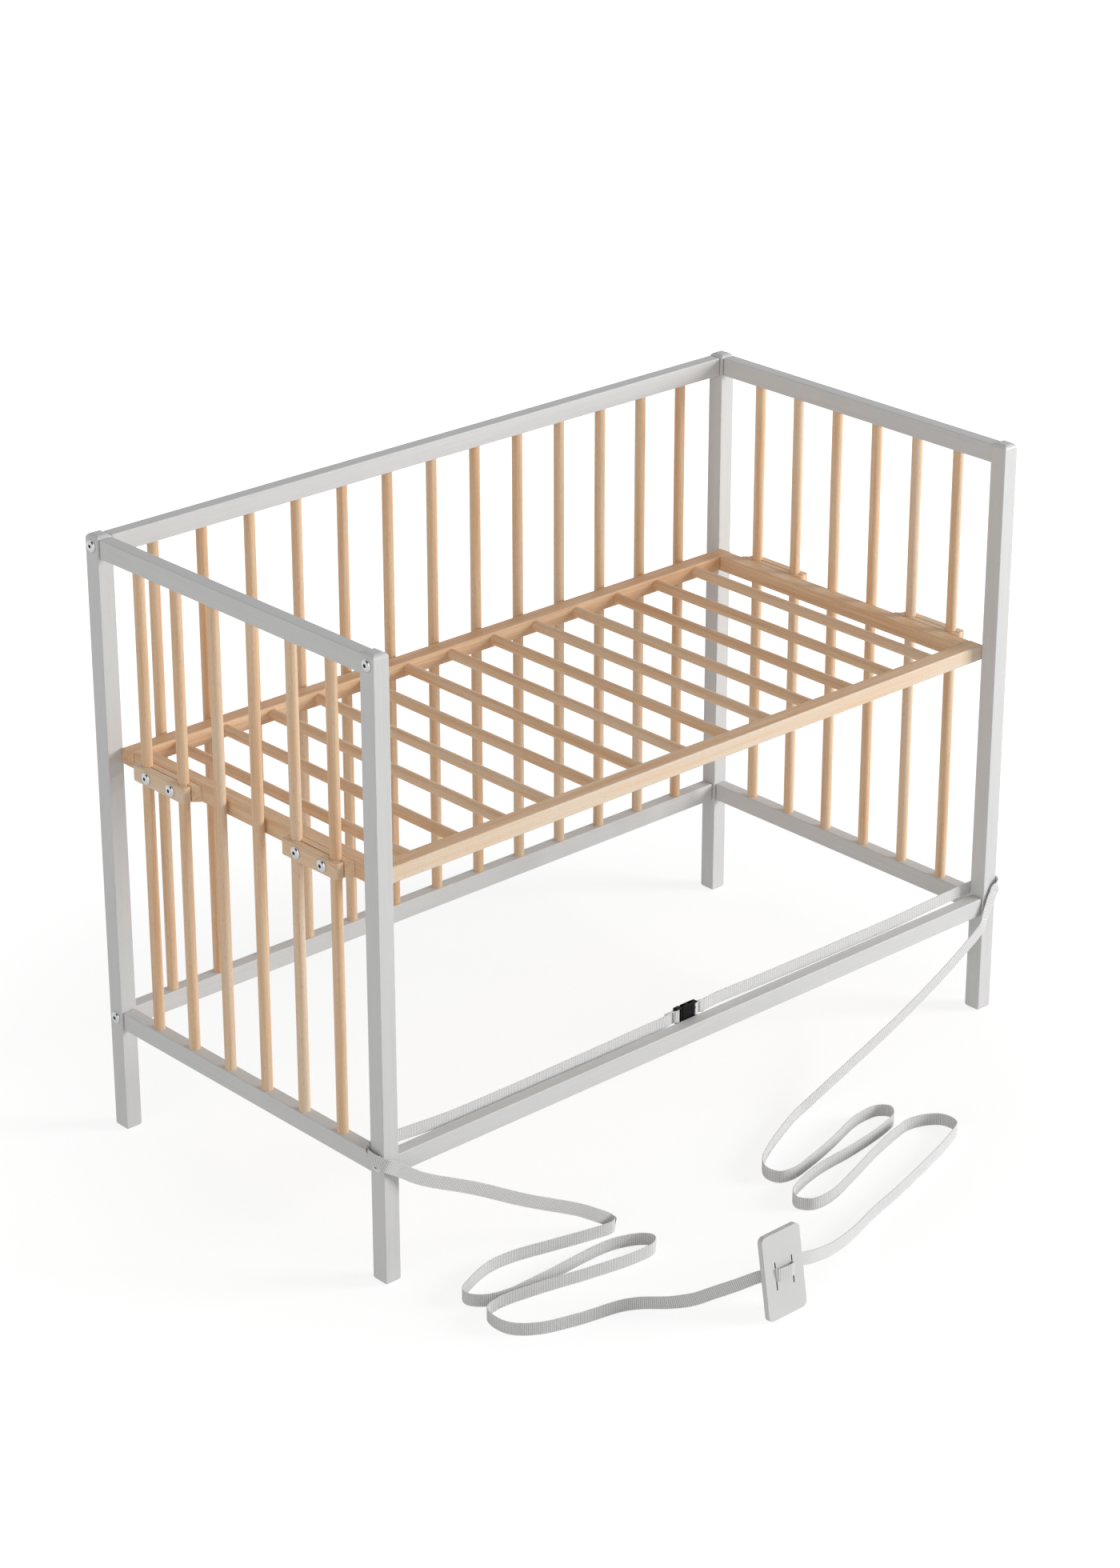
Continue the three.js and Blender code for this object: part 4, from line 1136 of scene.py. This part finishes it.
wide, tall, thick = PLATE_SIZE
plate = block("anchor_tablet", (-wide / 2, -thick, 0), (wide / 2, 0, tall))
rounded(plate, lambda edge: runs(edge, 1), PLATE_CORNER, 8)
ends_rounded(plate, 1, -thick, 0, PLATE_EDGE, 2)
for side in (-1, 1):
    x = side * SLIT_SPACING / 2
    slit_low = (x - SLIT_WIDE / 2, -2 * thick, SLIT_LIFT - SLIT_LONG / 2)
    slit_high = (x + SLIT_WIDE / 2, thick, SLIT_LIFT + SLIT_LONG / 2)
    cut(plate, block("slit", slit_low, slit_high))
# The faces inside the slits take the painted shade material.
slit_shade_faces = [
    abs(abs(face.center.x) - SLIT_SPACING / 2) < SLIT_WIDE and abs(face.normal.y) < 0.5
    and abs(face.center.z - SLIT_LIFT) < SLIT_LONG / 2 + MM
    for face in plate.data.polygons
]
lean = Matrix.Rotation(-PLATE_LEAN, 4, "X")
plate.data.transform(Matrix.Translation((*PLATE_PLACE, 0)) @ lean)
fitted(plate, plate_plastic, "plate_plastic", "frame", "anchor_plate")
plate.data.materials.append(slit_shade_plastic)
plate.data.polygons.foreach_set("material_index", [int(dark) for dark in slit_shade_faces])
strap_path = strap_line[::STEPS_PER_RIB] + [strap_line[-1]]

# The room: a white floor that keeps the crib's soft shadow, a large lamp low on the right, a
# weaker one on the left, and even light from all round. Gloss also mirrors a dark wall on the left.
WHITE = (1, 1, 1, 1)
FLOOR_SIZE = 60
FLOOR_SHADE = (0.85, 0.85, 0.85, 1)
FLOOR_WHITE_SHARE = 0.65
FLOOR_GLOW = 1.23
FADE_FROM = 0.5
FADE_OVER = 1.2
WORLD_LIGHT = 0.46
DIMMER_ABOVE = 0.4
DARK_WALL_TOWARDS = (-0.958, 0.03, 0.285)
DARK_WALL_FROM = 0.86
DARK_WALL_SOFTNESS = 30.0
DARK_WALL_LIGHT = 0.03
LAMPS_AIM = Vector((0, 0, 0.4))

bpy.ops.mesh.primitive_plane_add(size=FLOOR_SIZE, location=(0, 0, 0))
floor = added("floor")
floor_white = bpy.data.materials.new("floor_white")
floor_white.use_nodes = True
tree = floor_white.node_tree
tree.nodes.clear()
start = Shade(tree)
seen = start.node("ShaderNodeLightPath", {}, output="Is Camera Ray")
seen = (seen + seen.other("Is Glossy Ray") + seen.other("Is Transmission Ray")).clamped()
shadowed = start.node("ShaderNodeBsdfDiffuse", {"Color": FLOOR_SHADE})
glow = start.node("ShaderNodeEmission", {"Color": WHITE, "Strength": FLOOR_GLOW})
place = start.place()
distance = start.node("ShaderNodeVectorMath", {0: place}, output="Value", operation="LENGTH")
away = ((distance - FADE_FROM) * (1 / FADE_OVER)).clamped()
glow_share = seen * away.from_to(FLOOR_WHITE_SHARE, 1)
ground = start.node("ShaderNodeMixShader", {0: glow_share, 1: shadowed, 2: glow})
out = tree.nodes.new("ShaderNodeOutputMaterial")
tree.links.new(ground.socket, out.inputs["Surface"])
floor.data.materials.append(floor_white)

world = bpy.data.worlds.new("studio")
bpy.context.scene.world = world
world.use_nodes = True
tree = world.node_tree
tree.nodes.clear()
start = Shade(tree)
seen = start.node("ShaderNodeLightPath", {}, output="Is Camera Ray")
mirrored = seen.other("Is Glossy Ray")
white_share = (seen + mirrored + seen.other("Is Transmission Ray")).clamped()
direction = start.node("ShaderNodeTexCoord", {}, output="Generated")
above = start.node("ShaderNodeSeparateXYZ", {"Vector": direction}, output="Z").clamped()
strength = (1 - above * DIMMER_ABOVE) * WORLD_LIGHT
light = start.node("ShaderNodeBackground", {"Color": WHITE, "Strength": strength})
white = start.node("ShaderNodeBackground", {"Color": WHITE, "Strength": 1.0})
even = start.node("ShaderNodeMixShader", {0: white_share, 1: light, 2: white})
values = {0: direction, 1: DARK_WALL_TOWARDS}
near_wall = start.node("ShaderNodeVectorMath", values, output="Value", operation="DOT_PRODUCT")
wall_share = ((near_wall - DARK_WALL_FROM) * DARK_WALL_SOFTNESS).clamped() * mirrored
dark = start.node("ShaderNodeBackground", {"Color": WHITE, "Strength": DARK_WALL_LIGHT})
sky = start.node("ShaderNodeMixShader", {0: wall_share, 1: even, 2: dark})
out = tree.nodes.new("ShaderNodeOutputWorld")
tree.links.new(sky.socket, out.inputs["Surface"])


def lamp(name, place, size, watts):
    """A square studio lamp that is turned to the crib."""
    light = bpy.data.lights.new(name, "AREA")
    light.shape = "SQUARE"
    light.size = size
    light.energy = watts
    holder = bpy.data.objects.new(name, light)
    holder.location = place
    holder.rotation_euler = (Vector(place) - LAMPS_AIM).to_track_quat("Z", "Y").to_euler()
    bpy.context.collection.objects.link(holder)


lamp("right_lamp", place=(4.6, -4.2, 1.9), size=2.4, watts=296)
lamp("left_lamp", place=(-6.8, -1.8, 1.6), size=4.0, watts=92)

bpy.context.scene.view_settings.view_transform = "Standard"
bpy.context.view_layer.update()
